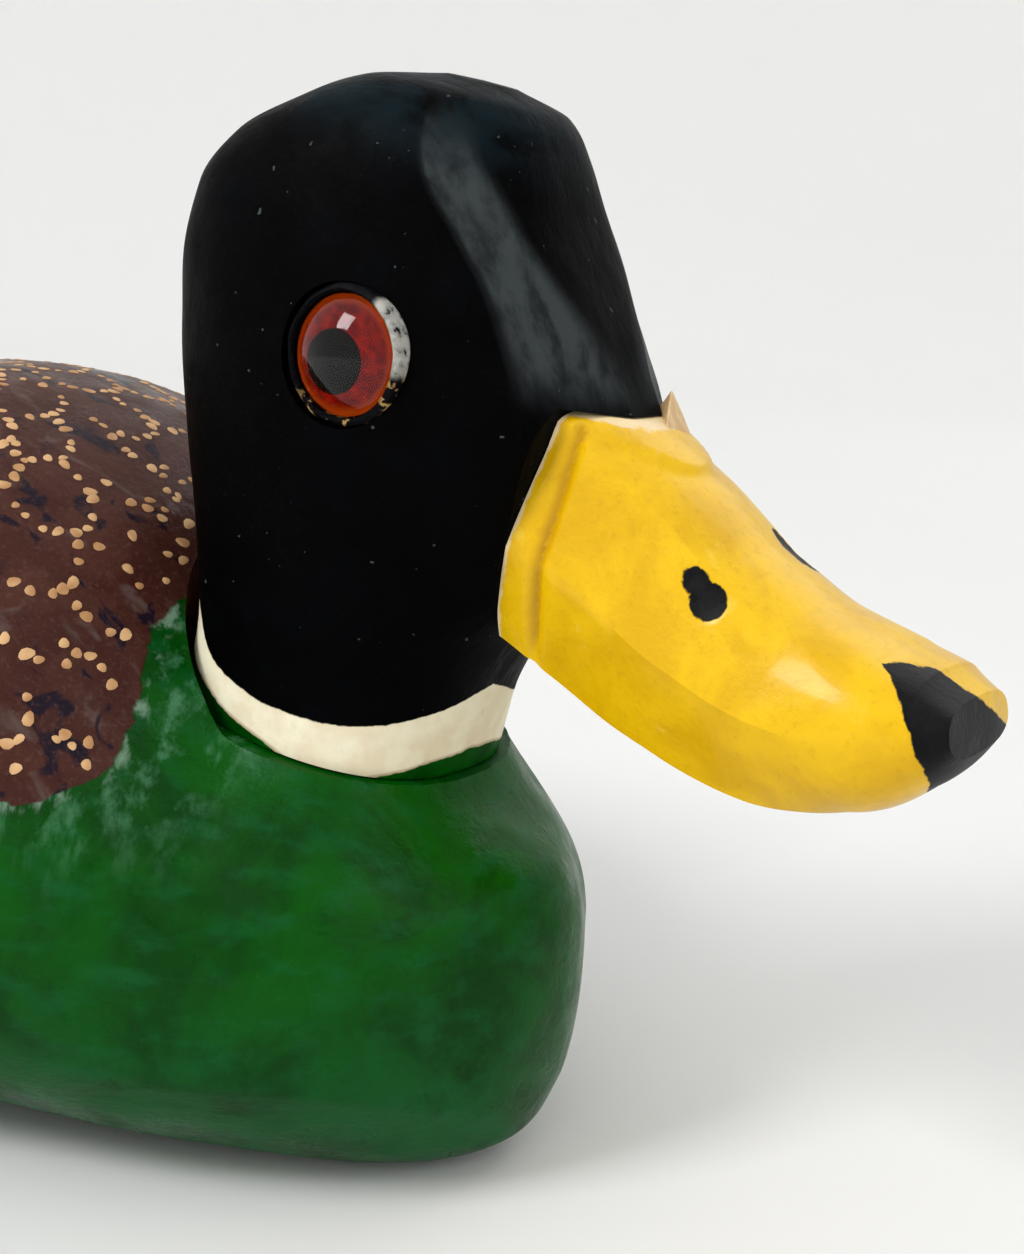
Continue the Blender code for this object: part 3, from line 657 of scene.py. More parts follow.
carve(
    body_wood,
    [
        put(turned("swing_clearance", swing, 96), SWIVEL),
        put(build_object("cavity", *skin(cavity_rings())), DECOY),
        put(prism("board_seat", board_hole, -0.010, BOARD_TOP + GAP), DECOY),
        put(prism("hatch", hatch_hole, 0.5 * BOARD_TOP, CAVITY[3] + 0.006), DECOY),
        drill("nut_pocket", NUT_POCKET[0], -NUT_POCKET[1], -NECK_WALL, 32),
        drill("bolt_hole", BOLT_HOLE, -NECK_WALL - PAST, PAST, 24),
        put(turned("tie_recess", recess), DECOY @ Matrix.Translation((TIE_RECESS_X, 0, 0))),
    ],
    32,
)

# The brown back's front edge by height, and its lower edge by distance ahead of the neck.
CAPE_FRONT = smooth_table(
    ((0.050, -0.0088), (0.0535, -0.0082), (0.0586, -0.0095), (0.0646, -0.0117), (0.070, -0.0150))
)
CAPE_FLOOR = smooth_table(
    (
        (-0.250, 0.0535),
        (-0.215, 0.0480),
        (-0.160, 0.0470),
        (-0.100, 0.0500),
        (-0.050, 0.0515),
        (-0.016, 0.0502),
    )
)


def cape(points):
    """How far inside the brown back each point lies."""
    x, z = points[:, 0] - NECK_X, points[:, 2]
    return smooth_min(CAPE_FRONT(z)[:, 0] - x, z - CAPE_FLOOR(x)[:, 0], 0.006)


body_points = coordinates(body_wood)
body_points += BODY_UNEVENNESS * wander(body_points, 0.016, 1)[:, None] * np.where(
    body_points[:, 2:] > 0.004, 1, 0
)
body_points[:, 2] = np.maximum(body_points[:, 2], 0)
move(body_wood, body_points)
paint_field(body_wood, "cape", cape(body_points) + 0.0007 * wander(body_points, 0.006, 2))
paint_field(body_wood, "tail", -0.232 - (body_points[:, 0] - NECK_X))
seat_points = local(body_points, SWIVEL)
off_axis = np.hypot(seat_points[:, 0], seat_points[:, 1])
on_seat = (np.abs(seat_points[:, 2]) < 0.0008) & (off_axis < 0.0192)
paint_field(body_wood, "bare", np.where(on_seat, 1.0, -1.0))

p = body_paint = Paint("body_paint")
streak = p.noise(0.004, 5.0, 0.6, p.stretch((0.35, 1.0, 1.5), (0.0, 0.5, 0.3)))
mottle = p.noise(0.016, 5.0, 0.6, warp=0.6)
grain = p.noise(0.0007, 3.0, 0.7)
height = p.node("ShaderNodeSeparateXYZ", {0: p.coords}).outputs["Z"]
green = p.mix(p.band(mottle, 0.36, 0.62), DEEP_GREEN, LEAF_GREEN)
green = p.mix(p.band(streak, 0.46, 0.72, 0.0, 0.55), green, (0.003, 0.088, 0.020))
# Painted reflection: the green turns paler and greyer towards the bottom, in patches, for the
# pale floor showing in the gloss.
floor_reflection_share = p.band(height, 0.034, 0.004, 0.0, 0.50)
floor_reflection_share = p.times(floor_reflection_share, p.band(mottle, 0.30, 0.60))
green = p.mix(floor_reflection_share, green, (0.008, 0.098, 0.034))
# Scuffed strokes and painted highlight: pale teal strokes on the shoulder beside the brown back,
# where the gloss highlight falls.
scuff_and_sheen_zone = p.times(p.band(p.field("cape"), -0.016, -0.002), p.band(height, 0.036, 0.054))
strokes = p.noise(0.0045, 4.0, 0.65, p.stretch((1.4, 1.0, 0.28), (0.3, 0.2, 0.0)))
scuff_and_sheen = p.times(scuff_and_sheen_zone, p.band(strokes, 0.47, 0.66))
green = p.mix(p.times(scuff_and_sheen, 0.50), green, (0.090, 0.260, 0.140))
green = p.mix(p.band(grain, 0.52, 0.75, 0.0, 0.35), green, (0.002, 0.052, 0.008))
bark, plum, soot = (0.068, 0.023, 0.016), (0.046, 0.013, 0.009), (0.006, 0.004, 0.012)
comma = p.noise(0.0062, 2.0, 0.5, p.stretch((0.55, 1.3, 1.0), (0.2, 0.4, 0.6)), 1.2)
ash = p.noise(0.0085, 3.0, 0.55, p.stretch((0.5, 1.6, 1.2), (0.5, -0.3, -0.5)), 0.8)
brown = p.mix(p.band(mottle, 0.38, 0.62), plum, bark)
brown = p.mix(p.band(ash, 0.56, 0.70, 0.0, 0.55), brown, (0.120, 0.085, 0.078))
brown = p.mix(p.band(comma, 0.60, 0.67, 0.0, 0.90), brown, soot)
brown = p.mix(p.band(grain, 0.50, 0.75, 0.0, 0.45), brown, (0.110, 0.060, 0.045))
cape_edge = p.edge("cape", 0.00014, 0.0005, 0.0022)
lip = p.times(p.band(p.field("cape"), -0.0013, -0.0003), p.band(strokes, 0.45, 0.60))
skin_colour = p.mix(p.times(lip, 0.35), green, (0.36, 0.46, 0.38))
skin_colour = p.mix(cape_edge, skin_colour, brown)
tail_edge = p.times(p.edge("tail", 0.0004, 0.0022, 0.005), 0.9)
skin_colour = p.mix(tail_edge, skin_colour, (0.60, 0.55, 0.42))
bare = p.band(p.field("bare"), -0.2, 0.2)
skin_colour = p.mix(bare, skin_colour, end_grain(p, (0.1, 1, 1)))
gloss = p.band(p.noise(0.009, 4.0, 0.6), 0.35, 0.68, 0.24, 0.46)
p.set(colour=skin_colour, roughness=gloss, specular=0.10)
p.bump((mottle, 0.00035), (streak, 0.00022), (grain, 0.00005), (cape_edge, 0.00008))
dress(body_wood, body_paint, "body", "green_paint", "body_shell")

# ---------------------------------------------------------------- feather dots

DOT_SEED = 20
SCALLOP_LENGTH = 0.0098
SCALLOP_WIDTH = 0.0112
SCALLOP_REACH = 0.0060
DOT_PITCH = 0.0020
DOT_RADIUS = (0.00046, 0.00080)
DOT_SIDES = 10
DOT_THICKNESS = 0.00011
DOT_SKIP = 0.09
SCALLOP_SHAKE = 0.0029
DOT_SHAKE = 0.0003

graph = bpy.context.evaluated_depsgraph_get()
body_tree = BVHTree.FromObject(body_wood, graph)
dice = random.Random(DOT_SEED)


def back_point(x, across):
    """The surface point at a distance ahead of the neck and a distance over the back."""
    half_width, _, _, waist = (float(size) for size in body_section(np.array(x)))
    angle = across / max(half_width, 0.012)
    centre = Vector((NECK_X + x, 0, waist))
    outward = Vector((0, math.sin(angle), math.cos(angle)))
    hit, normal, _, _ = body_tree.ray_cast(centre + 0.2 * outward, -outward)
    return hit, normal


SWING_REACH = [(height, radius + 0.0011) for radius, height in SWING_PROFILE]


def dot_shape(centre, normal, long_side, short_side, turn):
    """A flat blob of paint, sunk a little into the surface."""
    side = normal.orthogonal().normalized()
    other = normal.cross(side)
    first = side * math.cos(turn) + other * math.sin(turn)
    second = normal.cross(first)
    verts = [centre - normal * DOT_THICKNESS]
    for reach, rise in ((1.0, -0.8), (0.97, 0.35), (0.66, 0.85)):
        for i in range(DOT_SIDES):
            angle = 2 * math.pi * i / DOT_SIDES
            wobble = reach * (1 + 0.09 * math.sin(3 * angle + turn * 5))
            along = first * (long_side * wobble * math.cos(angle))
            across = second * (short_side * wobble * math.sin(angle))
            verts.append(centre + along + across + normal * (DOT_THICKNESS * rise))
    verts.append(centre + normal * DOT_THICKNESS)
    last = len(verts) - 1
    faces = []
    for i in range(DOT_SIDES):
        j = (i + 1) % DOT_SIDES
        faces.append((0, 1 + j, 1 + i))
        for row in (0, 1):
            low, high = 1 + row * DOT_SIDES, 1 + (row + 1) * DOT_SIDES
            faces.append((low + i, low + j, high + j, high + i))
        top = 1 + 2 * DOT_SIDES
        faces.append((top + i, top + j, last))
    return verts, faces


dot_verts, dot_faces, dot_places = [], [], []
rows = int(0.240 / SCALLOP_LENGTH)
for row in range(rows):
    for column in range(-8, 9):
        x = -0.012 - SCALLOP_LENGTH * row + dice.uniform(-SCALLOP_SHAKE, SCALLOP_SHAKE)
        offset = 0.5 * (row % 2)
        across = SCALLOP_WIDTH * (column + offset) + dice.uniform(-SCALLOP_SHAKE, SCALLOP_SHAKE)
        lean = dice.uniform(-0.6, 0.6)
        span = dice.uniform(1.45, 1.95)
        size = SCALLOP_REACH * dice.uniform(0.82, 1.12)
        count = int(2 * span * size / DOT_PITCH)
        for k in range(count + 1):
            turn = -span + 2 * span * k / count + dice.uniform(-0.08, 0.08)
            if dice.random() < DOT_SKIP:
                continue
            dx = size * 1.1 * math.cos(turn + lean) + dice.uniform(-DOT_SHAKE, DOT_SHAKE)
            dv = size * math.sin(turn + lean) + dice.uniform(-DOT_SHAKE, DOT_SHAKE)
            radius = dice.uniform(*DOT_RADIUS)
            stretch = dice.uniform(1.0, 1.55)
            spin = dice.uniform(0, math.pi)
            hit, normal = back_point(x + dx, across + dv)
            if hit is None:
                continue
            inside = float(cape(np.array([hit]))[0])
            in_swivel = SWIVEL.inverted() @ hit
            off_axis = math.hypot(in_swivel.x, in_swivel.y)
            if inside < 0.0012 or off_axis < float(np.interp(in_swivel.z, *zip(*SWING_REACH))):
                continue
            if any((hit - other).length < 1.9 * DOT_RADIUS[0] for other in dot_places):
                continue
            dot_places.append(hit)
            verts, faces = dot_shape(hit, normal, radius * stretch, radius, spin)
            base = len(dot_verts)
            dot_verts += verts
            dot_faces += [tuple(base + i for i in face) for face in faces]
back_dots = build_object("back_dots", dot_verts, dot_faces, 60)
p = dot_paint = Paint("dot_paint")
tone = p.noise(0.0045, 2.0)
p.set(
    colour=p.mix(p.band(tone, 0.35, 0.65), (0.42, 0.21, 0.08), (0.66, 0.40, 0.19)),
    roughness=p.band(p.noise(0.001, 2.0), 0.3, 0.7, 0.45, 0.65),
    specular=0.35,
)
p.bump((p.noise(0.0005, 3.0), 0.00005))
dress(back_dots, dot_paint, "body", "bare_wood")

# ---------------------------------------------------------------- head

head_table = smooth_table(HEAD_SECTIONS)
cheek_table = smooth_table(CHEEK_EDGES)


def head_outline(h, degrees):
    """Points of one level slice at angles round from the front, on one side."""
    rear, front, half_width, power = head_table(h).T
    waist = (rear + front) / 2 - HEAD_WAIST_BACK * np.minimum(h / 0.020, 1)
    angle = np.radians(degrees)
    c, s = np.cos(angle), np.sin(angle)
    ahead = waist + (front - waist) * np.maximum(c, 0)
    behind = waist - (waist - rear) * np.maximum(-c, 0) ** (2 / power)
    x = np.where(c > 0, ahead, behind)
    return x, half_width * np.maximum(s, 0) ** (2 / power)


def head_half_ring(h):
    """One side of a slice: brow, bevel, planed cheek and rounded nape."""
    bevel, edge, cheek_end = cheek_table(h)
    flat = float(step(0.026, 0.040, h) * (1 - step(0.0765, 0.0815, h)))
    stops = (0.0, bevel, edge, cheek_end, 180.0)
    points = []
    for k, count in enumerate(CHEEK_STEPS):
        share = np.arange(count) / count
        degrees = stops[k] + (stops[k + 1] - stops[k]) * share
        heights = np.full(count, h)
        x, y = head_outline(heights, degrees)
        if CHEEK_FLATNESS[k]:
            ends = head_outline(np.array([h, h]), np.array([stops[k], stops[k + 1]]))
            blend = flat * CHEEK_FLATNESS[k]
            x = x * (1 - blend) + (ends[0][0] + (ends[0][1] - ends[0][0]) * share) * blend
            y = y * (1 - blend) + (ends[1][0] + (ends[1][1] - ends[1][0]) * share) * blend
        points += list(zip(x, y))
    return points


def head_rings():
    low, high = GAP, HEAD_SECTIONS[-1][0]
    share = np.linspace(0, 1, HEAD_RINGS)
    rings = []
    for h in low + (high - low) * (1 - (1 - share) ** HEAD_CROWDING):
        left = head_half_ring(h)
        nape = head_outline(np.array([h]), np.array([180.0]))
        loop = [(x, y, h) for x, y in left] + [(float(nape[0][0]), 0.0, h)]
        loop += [(x, -y, h) for x, y in reversed(left[1:])]
        rings.append(loop)
    return np.array(rings)


def seat_prism(name, far_x, gap):
    """Everything on one side of the bill's seat."""
    seat = [(x + gap, z - 1.5 * gap) for x, z in BILL_SEAT]
    low_x, high_x = seat[0][0], seat[-1][0]
    outline = [(low_x, -0.040), *seat, (high_x, 0.100), (far_x, 0.100), (far_x, -0.040)]
    return put(prism(name, outline, -0.040, 0.040, "xz"), SWIVEL)


def eye_matrix(side):
    turn = Matrix.Rotation(-side * math.pi / 2, 4, "X")
    return SWIVEL @ Matrix.Translation((EYE_X, side * EYE_FACE_Y, EYE_Z)) @ turn


crown = (0.0005, 0, HEAD_SECTIONS[-1][0] + 0.00015)
head_verts, head_faces = skin(head_rings(), None, crown)
head_wood = put(build_object("head_wood", head_verts, head_faces, 24), SWIVEL)
iris_back = -GLASS_RIM - GAP - IRIS_THICKNESS
socket_floor = iris_back - GAP - PUTTY_FLOOR - GAP
socket = [(0, socket_floor), (PUTTY_RADIUS + 0.0001, socket_floor)]
socket += [(PUTTY_RADIUS + 0.0001, -0.0004), (PUTTY_RADIUS + 0.0012, 0.012), (0, 0.012)]
carve(
    head_wood,
    [
        seat_prism("front_of_seat", 0.120, 0),
        drill("leather_seat", WASHER_SEAT[0], -PAST, WASHER_SEAT[1]),
        drill("head_bolt_hole", BOLT_HOLE, -PAST, BOLT_IN_HEAD, 24),
        put(turned("socket_right", socket), eye_matrix(-1)),
        put(turned("socket_left", socket), eye_matrix(1)),
    ],
    24,
)
head_points = coordinates(head_wood)
in_head = local(head_points, SWIVEL)
calm = np.minimum(
    np.hypot(in_head[:, 0] - EYE_X, in_head[:, 2] - EYE_Z) / 0.012, in_head[:, 2] / 0.010
)
push = HEAD_UNEVENNESS * wander(head_points, 0.012, 3) * step(0.7, 1.2, calm)
head_points[:, 1] += push * np.sign(in_head[:, 1])
move(head_wood, head_points)

# The white ring's edges: degrees round from the front, lower height, upper height.
RING_EDGES = smooth_table(
    (
        (0, 0.0032, 0.0125),
        (19, 0.0026, 0.0102),
        (38, 0.0006, 0.0079),
        (60, -0.0010, 0.0061),
        (84, 0.0009, 0.0057),
        (106, 0.0027, 0.0068),
        (121, 0.0048, 0.0092),
        (133, 0.0064, 0.0125),
        (180, 0.0080, 0.0150),
    )
)
round_neck = np.degrees(np.abs(np.arctan2(in_head[:, 1], in_head[:, 0])))
ring_low, ring_high = RING_EDGES(round_neck).T
hand = 0.00025 * wander(head_points, 0.004, 5)
paint_field(head_wood, "above_low", in_head[:, 2] - ring_low + hand)
paint_field(head_wood, "above_high", in_head[:, 2] - ring_high - hand)
inner = (np.hypot(in_head[:, 0], in_head[:, 1]) < 0.0186) & (in_head[:, 2] < 0.030)
paint_field(head_wood, "bare", np.where(inner, 1.0, -1.0))
rear, front, half_width, power = head_table(in_head[:, 2]).T
waist = (rear + front) / 2 - HEAD_WAIST_BACK
turn = np.degrees(np.arccos(np.clip((in_head[:, 0] - waist) / (front - waist), -1, 1)))
bevel, edge, _ = cheek_table(in_head[:, 2]).T
along_bevel = (turn - bevel) / (edge - bevel)
on_bevel = step(-0.25, 0.15, along_bevel) * (1 - step(0.93, 1.03, along_bevel))
on_bevel *= step(0.050, 0.056, in_head[:, 2]) * (1 - step(0.0745, 0.081, in_head[:, 2]))
paint_field(head_wood, "bevel", on_bevel)
paint_field(head_wood, "crown", step(0.0715, 0.0800, in_head[:, 2]))

p = head_paint = Paint("head_paint")
brush = p.noise(0.0032, 5.0, 0.62, p.stretch((0.55, 1.3, 0.55), (0.0, -0.7, 0.4)))
cloud = p.noise(0.011, 4.0, 0.6, warp=0.5)
fine = p.noise(0.0006, 3.0, 0.7)
black = p.mix(p.band(cloud, 0.40, 0.70), (0.0003, 0.0003, 0.0004), (0.0006, 0.0008, 0.0013))
# Painted highlight: the lit bevel between cheek and brow is painted a lighter blue-grey, broken
# up by brush noise.
bevel_sheen = p.times(p.field("bevel"), p.band(brush, 0.30, 0.62, 0.35, 1.0))
black = p.mix(p.times(bevel_sheen, 0.80), black, (0.050, 0.059, 0.062))
# Painted reflection: the crown is painted a faint blue-grey in patches, for the sheen from above.
cap = p.times(p.field("crown"), p.band(cloud, 0.36, 0.60))
black = p.mix(p.times(cap, 0.75), black, (0.006, 0.014, 0.018))
speck = p.band(p.noise(0.0010, 1.0, 0.4), 0.775, 0.795)
black = p.mix(p.times(speck, 0.5), black, (0.10, 0.12, 0.13))
cream = p.mix(p.band(p.noise(0.005, 4.0), 0.35, 0.65), (0.80, 0.70, 0.50), (0.88, 0.82, 0.62))
cream = p.mix(p.band(brush, 0.56, 0.74, 0.0, 0.30), cream, (0.55, 0.44, 0.29))
# Painted shade: a thin brown line along the white ring's lower edge, for the shadow cast by the
# ring's edge.
lip = p.band(p.field("above_low"), 0.0006, 0.0001, 0.0, 0.55)
cream = p.mix(lip, cream, (0.28, 0.17, 0.07))
neck_green = p.mix(p.band(cloud, 0.36, 0.62), DEEP_GREEN, LEAF_GREEN)
coat = p.mix(p.edge("above_low", 0.00010, 0.00022), neck_green, cream)
high_edge = p.edge("above_high", 0.00010, 0.00022)
coat = p.mix(high_edge, coat, black)
coat = p.mix(p.band(p.field("bare"), -0.2, 0.2), coat, end_grain(p, (1, 1, 0.1)))
shine = p.math("MAXIMUM", p.field("bevel"), p.field("crown"))
rough = p.math("ADD", p.times(brush, 0.6), p.times(shine, -0.1))
rough = p.band(rough, 0.1, 0.5, 0.38, 0.60)
p.set(colour=coat, roughness=rough, specular=0.02)
p.bump((cloud, 0.00022), (brush, 0.00016), (fine, 0.00004), (high_edge, 0.00010))
dress(head_wood, head_paint, "head", "black_paint", "head")

# ---------------------------------------------------------------- bill

bill_table = smooth_table(BILL_SECTIONS)
GROOVE_AT = ((0.010, 0.0050), (0.026, 0.0054), (0.040, 0.0042), (0.0512, 0.0026))
GROOVE_DEPTH = 0.00060
GROOVE_HALF = 0.0008
BAND_RISE = 0.00045
PAD_RISE = 0.0007
NEAR_NOSTRIL = (((0.0517, -0.0124, 0.0368), 0.0023), ((0.0495, -0.0121, 0.0384), 0.0017))
FAR_NOSTRIL = (((0.0530, 0.0066, 0.0402), 0.0030), ((0.0508, 0.0062, 0.0412), 0.0020))
# The black nail's outline, seen along a line of sight towards the tip.
NAIL_SIGHT = (0.473, -0.826, 0.306)
NAIL_OUTLINE = (
    (0.0710, -0.0075, 0.0362),
    (0.0733, -0.0095, 0.0351),
    (0.0748, -0.0107, 0.0338),
    (0.0762, -0.0115, 0.0325),
    (0.0775, -0.0116, 0.0308),
    (0.0782, -0.0108, 0.0290),
    (0.0786, -0.0085, 0.0270),
    (0.0792, -0.0056, 0.0244),
    (0.0850, 0.0000, 0.0180),
    (0.0980, 0.0080, 0.0220),
    (0.0920, 0.0136, 0.0290),
    (0.0826, 0.0068, 0.0306),
    (0.0803, 0.0028, 0.0330),
    (0.0780, 0.0002, 0.0346),
    (0.0754, -0.0018, 0.0359),
    (0.0728, -0.0050, 0.0365),
)


def seat_at(h):
    """The seat's distance ahead of the axis at a height."""
    table = np.array(BILL_SEAT)
    return np.interp(h, table[:3, 1], table[:3, 0])


def bill_rings():
    share = 1 - (1 - np.linspace(0, 1, BILL_RINGS)) ** BILL_CROWDING
    rows = bill_table(share)
    ahead, level_h = rows[:, 0], rows[:, 1]
    run, rise = np.gradient(ahead, share), np.gradient(level_h, share)
    length = np.hypot(run, rise)
    degrees = []
    for low, high, count in zip(BILL_FACETS, BILL_FACETS[1:], BILL_FACET_STEPS):
        degrees += [low + (high - low) * i / count for i in range(count)]
    half = np.array(degrees)
    rings = []
    for k in range(len(share)):
        _, _, half_width, up, down, power = rows[k]

        def outline(angle):
            c, s = np.cos(np.radians(angle)), np.sin(np.radians(angle))
            thick = np.where(s > 0, up, down) * signed_power(s, 2 / power)
            return half_width * np.maximum(c, 0) ** (2 / power), thick

        y, w = outline(half)
        stops_y, stops_w = outline(np.array(BILL_FACETS, float))
        chord_y = np.interp(half, BILL_FACETS, stops_y)
        chord_w = np.interp(half, BILL_FACETS, stops_w)
        flat = BILL_FLATNESS * np.where(half >= BILL_FACETS[-2], 0.35, 1.0)
        flat *= 1 - 0.85 * step(0.70, 0.92, share[k])
        y = y * (1 - flat) + chord_y * flat
        w = w * (1 - flat) + chord_w * flat
        top_y, top_w = outline(np.array([90.0]))
        ys = np.concatenate([y, top_y * 0, -y[:0:-1]])
        ws = np.concatenate([w, top_w, w[:0:-1]])
        nx, nz = -rise[k] / length[k], run[k] / length[k]
        rings.append(np.stack([ahead[k] + ws * nx, ys, level_h[k] + ws * nz], -1))
    return np.array(rings)


def blob_distance(points, blobs):
    """Distance outside the nearest ball, negative inside."""
    each = [np.linalg.norm(points - np.array(c), axis=-1) - r for c, r in blobs]
    return smooth_min(each[0], each[1], 0.0006)


def outline_distance(points, outline, sight):
    """Distance inside an outline drawn on a plane square to the line of sight."""
    sight = Vector(sight).normalized()
    first = Vector((0, 0, 1)).cross(sight).normalized()
    plane = np.array([first, sight.cross(first)])
    flat, corners = points @ plane.T, np.array(outline) @ plane.T
    nearest = np.full(len(flat), 1.0)
    crossings = np.zeros(len(flat), int)
    for a, b in zip(corners, np.roll(corners, -1, axis=0)):
        t = np.clip(((flat - a) @ (b - a)) / ((b - a) @ (b - a)), 0, 1)
        nearest = np.minimum(nearest, np.linalg.norm(flat - a - t[:, None] * (b - a), axis=1))
        spans = (a[1] > flat[:, 1]) != (b[1] > flat[:, 1])
        slope = (b[0] - a[0]) / (b[1] - a[1] if b[1] != a[1] else 1e-12)
        crossings += spans & (flat[:, 0] < a[0] + (flat[:, 1] - a[1]) * slope)
    return np.where(crossings % 2 == 1, nearest, -nearest)


def carve_bill(points, centres):
    """Pushes the skin out or in for the base band, groove, pad and nostrils."""
    outward = points - centres
    outward /= np.maximum(np.linalg.norm(outward, axis=-1, keepdims=True), 1e-9)
    x, y, z = points[..., 0], points[..., 1], points[..., 2]
    from_seat = x - seat_at(z)
    groove_at = np.interp(z, [g[0] for g in GROOVE_AT], [g[1] for g in GROOVE_AT])
    off_groove = from_seat - groove_at
    side_face = step(0.008, 0.0105, np.abs(y))
    rise = -GROOVE_DEPTH * np.exp(-((off_groove / GROOVE_HALF) ** 2)) * side_face
    rise += BAND_RISE * (1 - step(-0.0010, 0.0, off_groove)) * side_face
    pad_edge = 0.0418 - 0.0125 * (np.abs(y) / 0.0107) ** 2.2
    on_top = step(0.35, 0.75, outward[..., 2])
    rise += PAD_RISE * (1 - step(-0.0006, 0.0007, x - pad_edge)) * on_top
    for blobs in (NEAR_NOSTRIL, FAR_NOSTRIL):
        rise -= 0.00035 * (1 - step(-0.0008, 0.0002, blob_distance(points, blobs)))
    return points + outward * rise[..., None]


bill_skin = bill_rings()
bill_middle = bill_skin.mean(axis=1, keepdims=True)
bill_skin = carve_bill(bill_skin, bill_middle)
tip = bill_skin[-1].mean(axis=0) + np.array([0.0004, 0, 0])
bill_verts, bill_faces = skin(bill_skin, None, tip)
bill_wood = put(build_object("bill_wood", bill_verts, bill_faces, 30), SWIVEL)
carve(bill_wood, [seat_prism("behind_seat", -0.060, 0.00012)], 30)
bill_points = coordinates(bill_wood)
in_bill = local(bill_points, SWIVEL)
push = BILL_UNEVENNESS * wander(bill_points, 0.006, 6)
push *= step(0.001, 0.003, in_bill[:, 0] - 0.0275)
bill_points += push[:, None] * np.array([0.4, 0.6, 0.7])
move(bill_wood, bill_points)
nostrils = -np.minimum(blob_distance(in_bill, NEAR_NOSTRIL), blob_distance(in_bill, FAR_NOSTRIL))
nail = outline_distance(in_bill, NAIL_OUTLINE, NAIL_SIGHT)
nail = np.where(in_bill[:, 0] > 0.068, nail, -0.01)
seat_top = np.where(in_bill[:, 2] > 0.0475, 0.0513 - 0.0003 - in_bill[:, 2], 1.0)
from_seat = np.minimum(in_bill[:, 0] - seat_at(in_bill[:, 2]), 1.0)
groove_at = np.interp(in_bill[:, 2], *zip(*GROOVE_AT))
off_groove = (in_bill[:, 0] - seat_at(in_bill[:, 2]) - groove_at) / GROOVE_HALF
on_side = step(0.008, 0.0105, np.abs(in_bill[:, 1]))
paint_field(bill_wood, "groove", np.exp(-(off_groove**2)) * on_side)
paint_field(bill_wood, "nostrils", nostrils)
paint_field(bill_wood, "nail", nail)
paint_field(bill_wood, "from_seat", np.where(in_bill[:, 0] < 0.0354, from_seat, 0.01))
paint_field(bill_wood, "seat_top", np.where(in_bill[:, 0] < 0.0368, seat_top, 0.01))

p = bill_paint = Paint("bill_paint")
cloud = p.noise(0.010, 5.0, 0.6, warp=0.4)
freckle = p.noise(0.0011, 4.0, 0.65)
fine = p.noise(0.0005, 2.0, 0.6)
yellow = p.mix(p.band(cloud, 0.35, 0.65), (0.680, 0.385, 0.0006), (0.800, 0.480, 0.0010))
yellow = p.mix(p.band(freckle, 0.52, 0.75, 0.0, 0.45), yellow, (0.560, 0.290, 0.0010))
worn = p.band(p.noise(0.006, 5.0, 0.7), 0.60, 0.72, 0.0, 0.30)
yellow = p.mix(worn, yellow, (0.900, 0.640, 0.100))
primer = (0.80, 0.62, 0.34)
shake = p.math("MULTIPLY_ADD", p.noise(0.0016, 3.0), 0.0009, -0.00045)
seat_line = p.math("MINIMUM", p.field("from_seat"), p.field("seat_top"))
seat_line = p.math("ADD", seat_line, shake)
# Painted shade: the yellow is darkened along the carved groove near the bill's base.
yellow = p.mix(p.band(p.field("groove"), 0.2, 1.0, 0.0, 0.55), yellow, (0.42, 0.20, 0.001))
yellow = p.mix(p.band(seat_line, 0.00065, 0.00035), yellow, primer)
ink = p.mix(p.band(freckle, 0.45, 0.70), (0.0006, 0.0006, 0.0010), (0.004, 0.0045, 0.007))
nostril_edge = p.edge("nostrils", 0.00010, 0.00035, 0.0011)
nail_edge = p.edge("nail", 0.00012, 0.00045, 0.0016)
black_edge = p.math("MAXIMUM", nostril_edge, nail_edge)
uneven = p.math("ADD", cloud, p.times(freckle, 0.3))
bill_gloss = p.band(uneven, 0.4, 0.9, 0.27, 0.42)
p.set(
    colour=p.mix(black_edge, yellow, ink),
    roughness=p.math("MULTIPLY_ADD", black_edge, 0.15, bill_gloss),
    specular=0.14,
    coat_weight=p.band(black_edge, 0.0, 1.0, 0.22, 0.0),
    coat_roughness=0.12,
)
p.bump((cloud, 0.00022), (freckle, 0.00008), (fine, 0.00002), (black_edge, 0.00010))
dress(bill_wood, bill_paint, "head", "yellow_paint", "bill")

# A bare sliver of the bill's wood that stands up beside the brow's point.
SLIVER = (
    (0.0324, 0.0052, 0.0545),
    (0.0350, 0.0008, 0.0507),
    (0.0386, 0.0026, 0.0480),
    (0.0372, 0.0060, 0.0484),
    (0.0336, 0.0068, 0.0518),
)
SLIVER_ROOT = (
    (0.0304, 0.0042, 0.0500),
    (0.0345, 0.0012, 0.0470),
    (0.0372, 0.0020, 0.0440),
    (0.0368, 0.0058, 0.0440),
    (0.0315, 0.0066, 0.0480),
)
sliver_rows = []
for t in np.linspace(0, 1, 7):
    bulge = 0.0003 * math.sin(math.pi * t)
    sliver_rows.append(np.array(SLIVER_ROOT) * (1 - t) + np.array(SLIVER) * t + bulge)
bill_sliver = put(build_object("bill_sliver", *skin(np.array(sliver_rows))), SWIVEL)
soften = bill_sliver.modifiers.new("soften", "BEVEL")
soften.width = 0.0004
soften.segments = 2
p = sliver_paint = Paint("sliver_wood")
fibre = p.noise(0.0016, 4.0, 0.6, p.stretch((1.0, 1.0, 0.15), (0.0, 0.6, 0.0)))
p.set(
    colour=p.mix(p.band(fibre, 0.35, 0.65), (0.60, 0.38, 0.17), (0.78, 0.58, 0.33)),
    roughness=p.band(fibre, 0.3, 0.7, 0.55, 0.75),
)
p.bump((fibre, 0.0001))
dress(bill_sliver, sliver_paint, "head", "bare_wood")

# ---------------------------------------------------------------- eyes


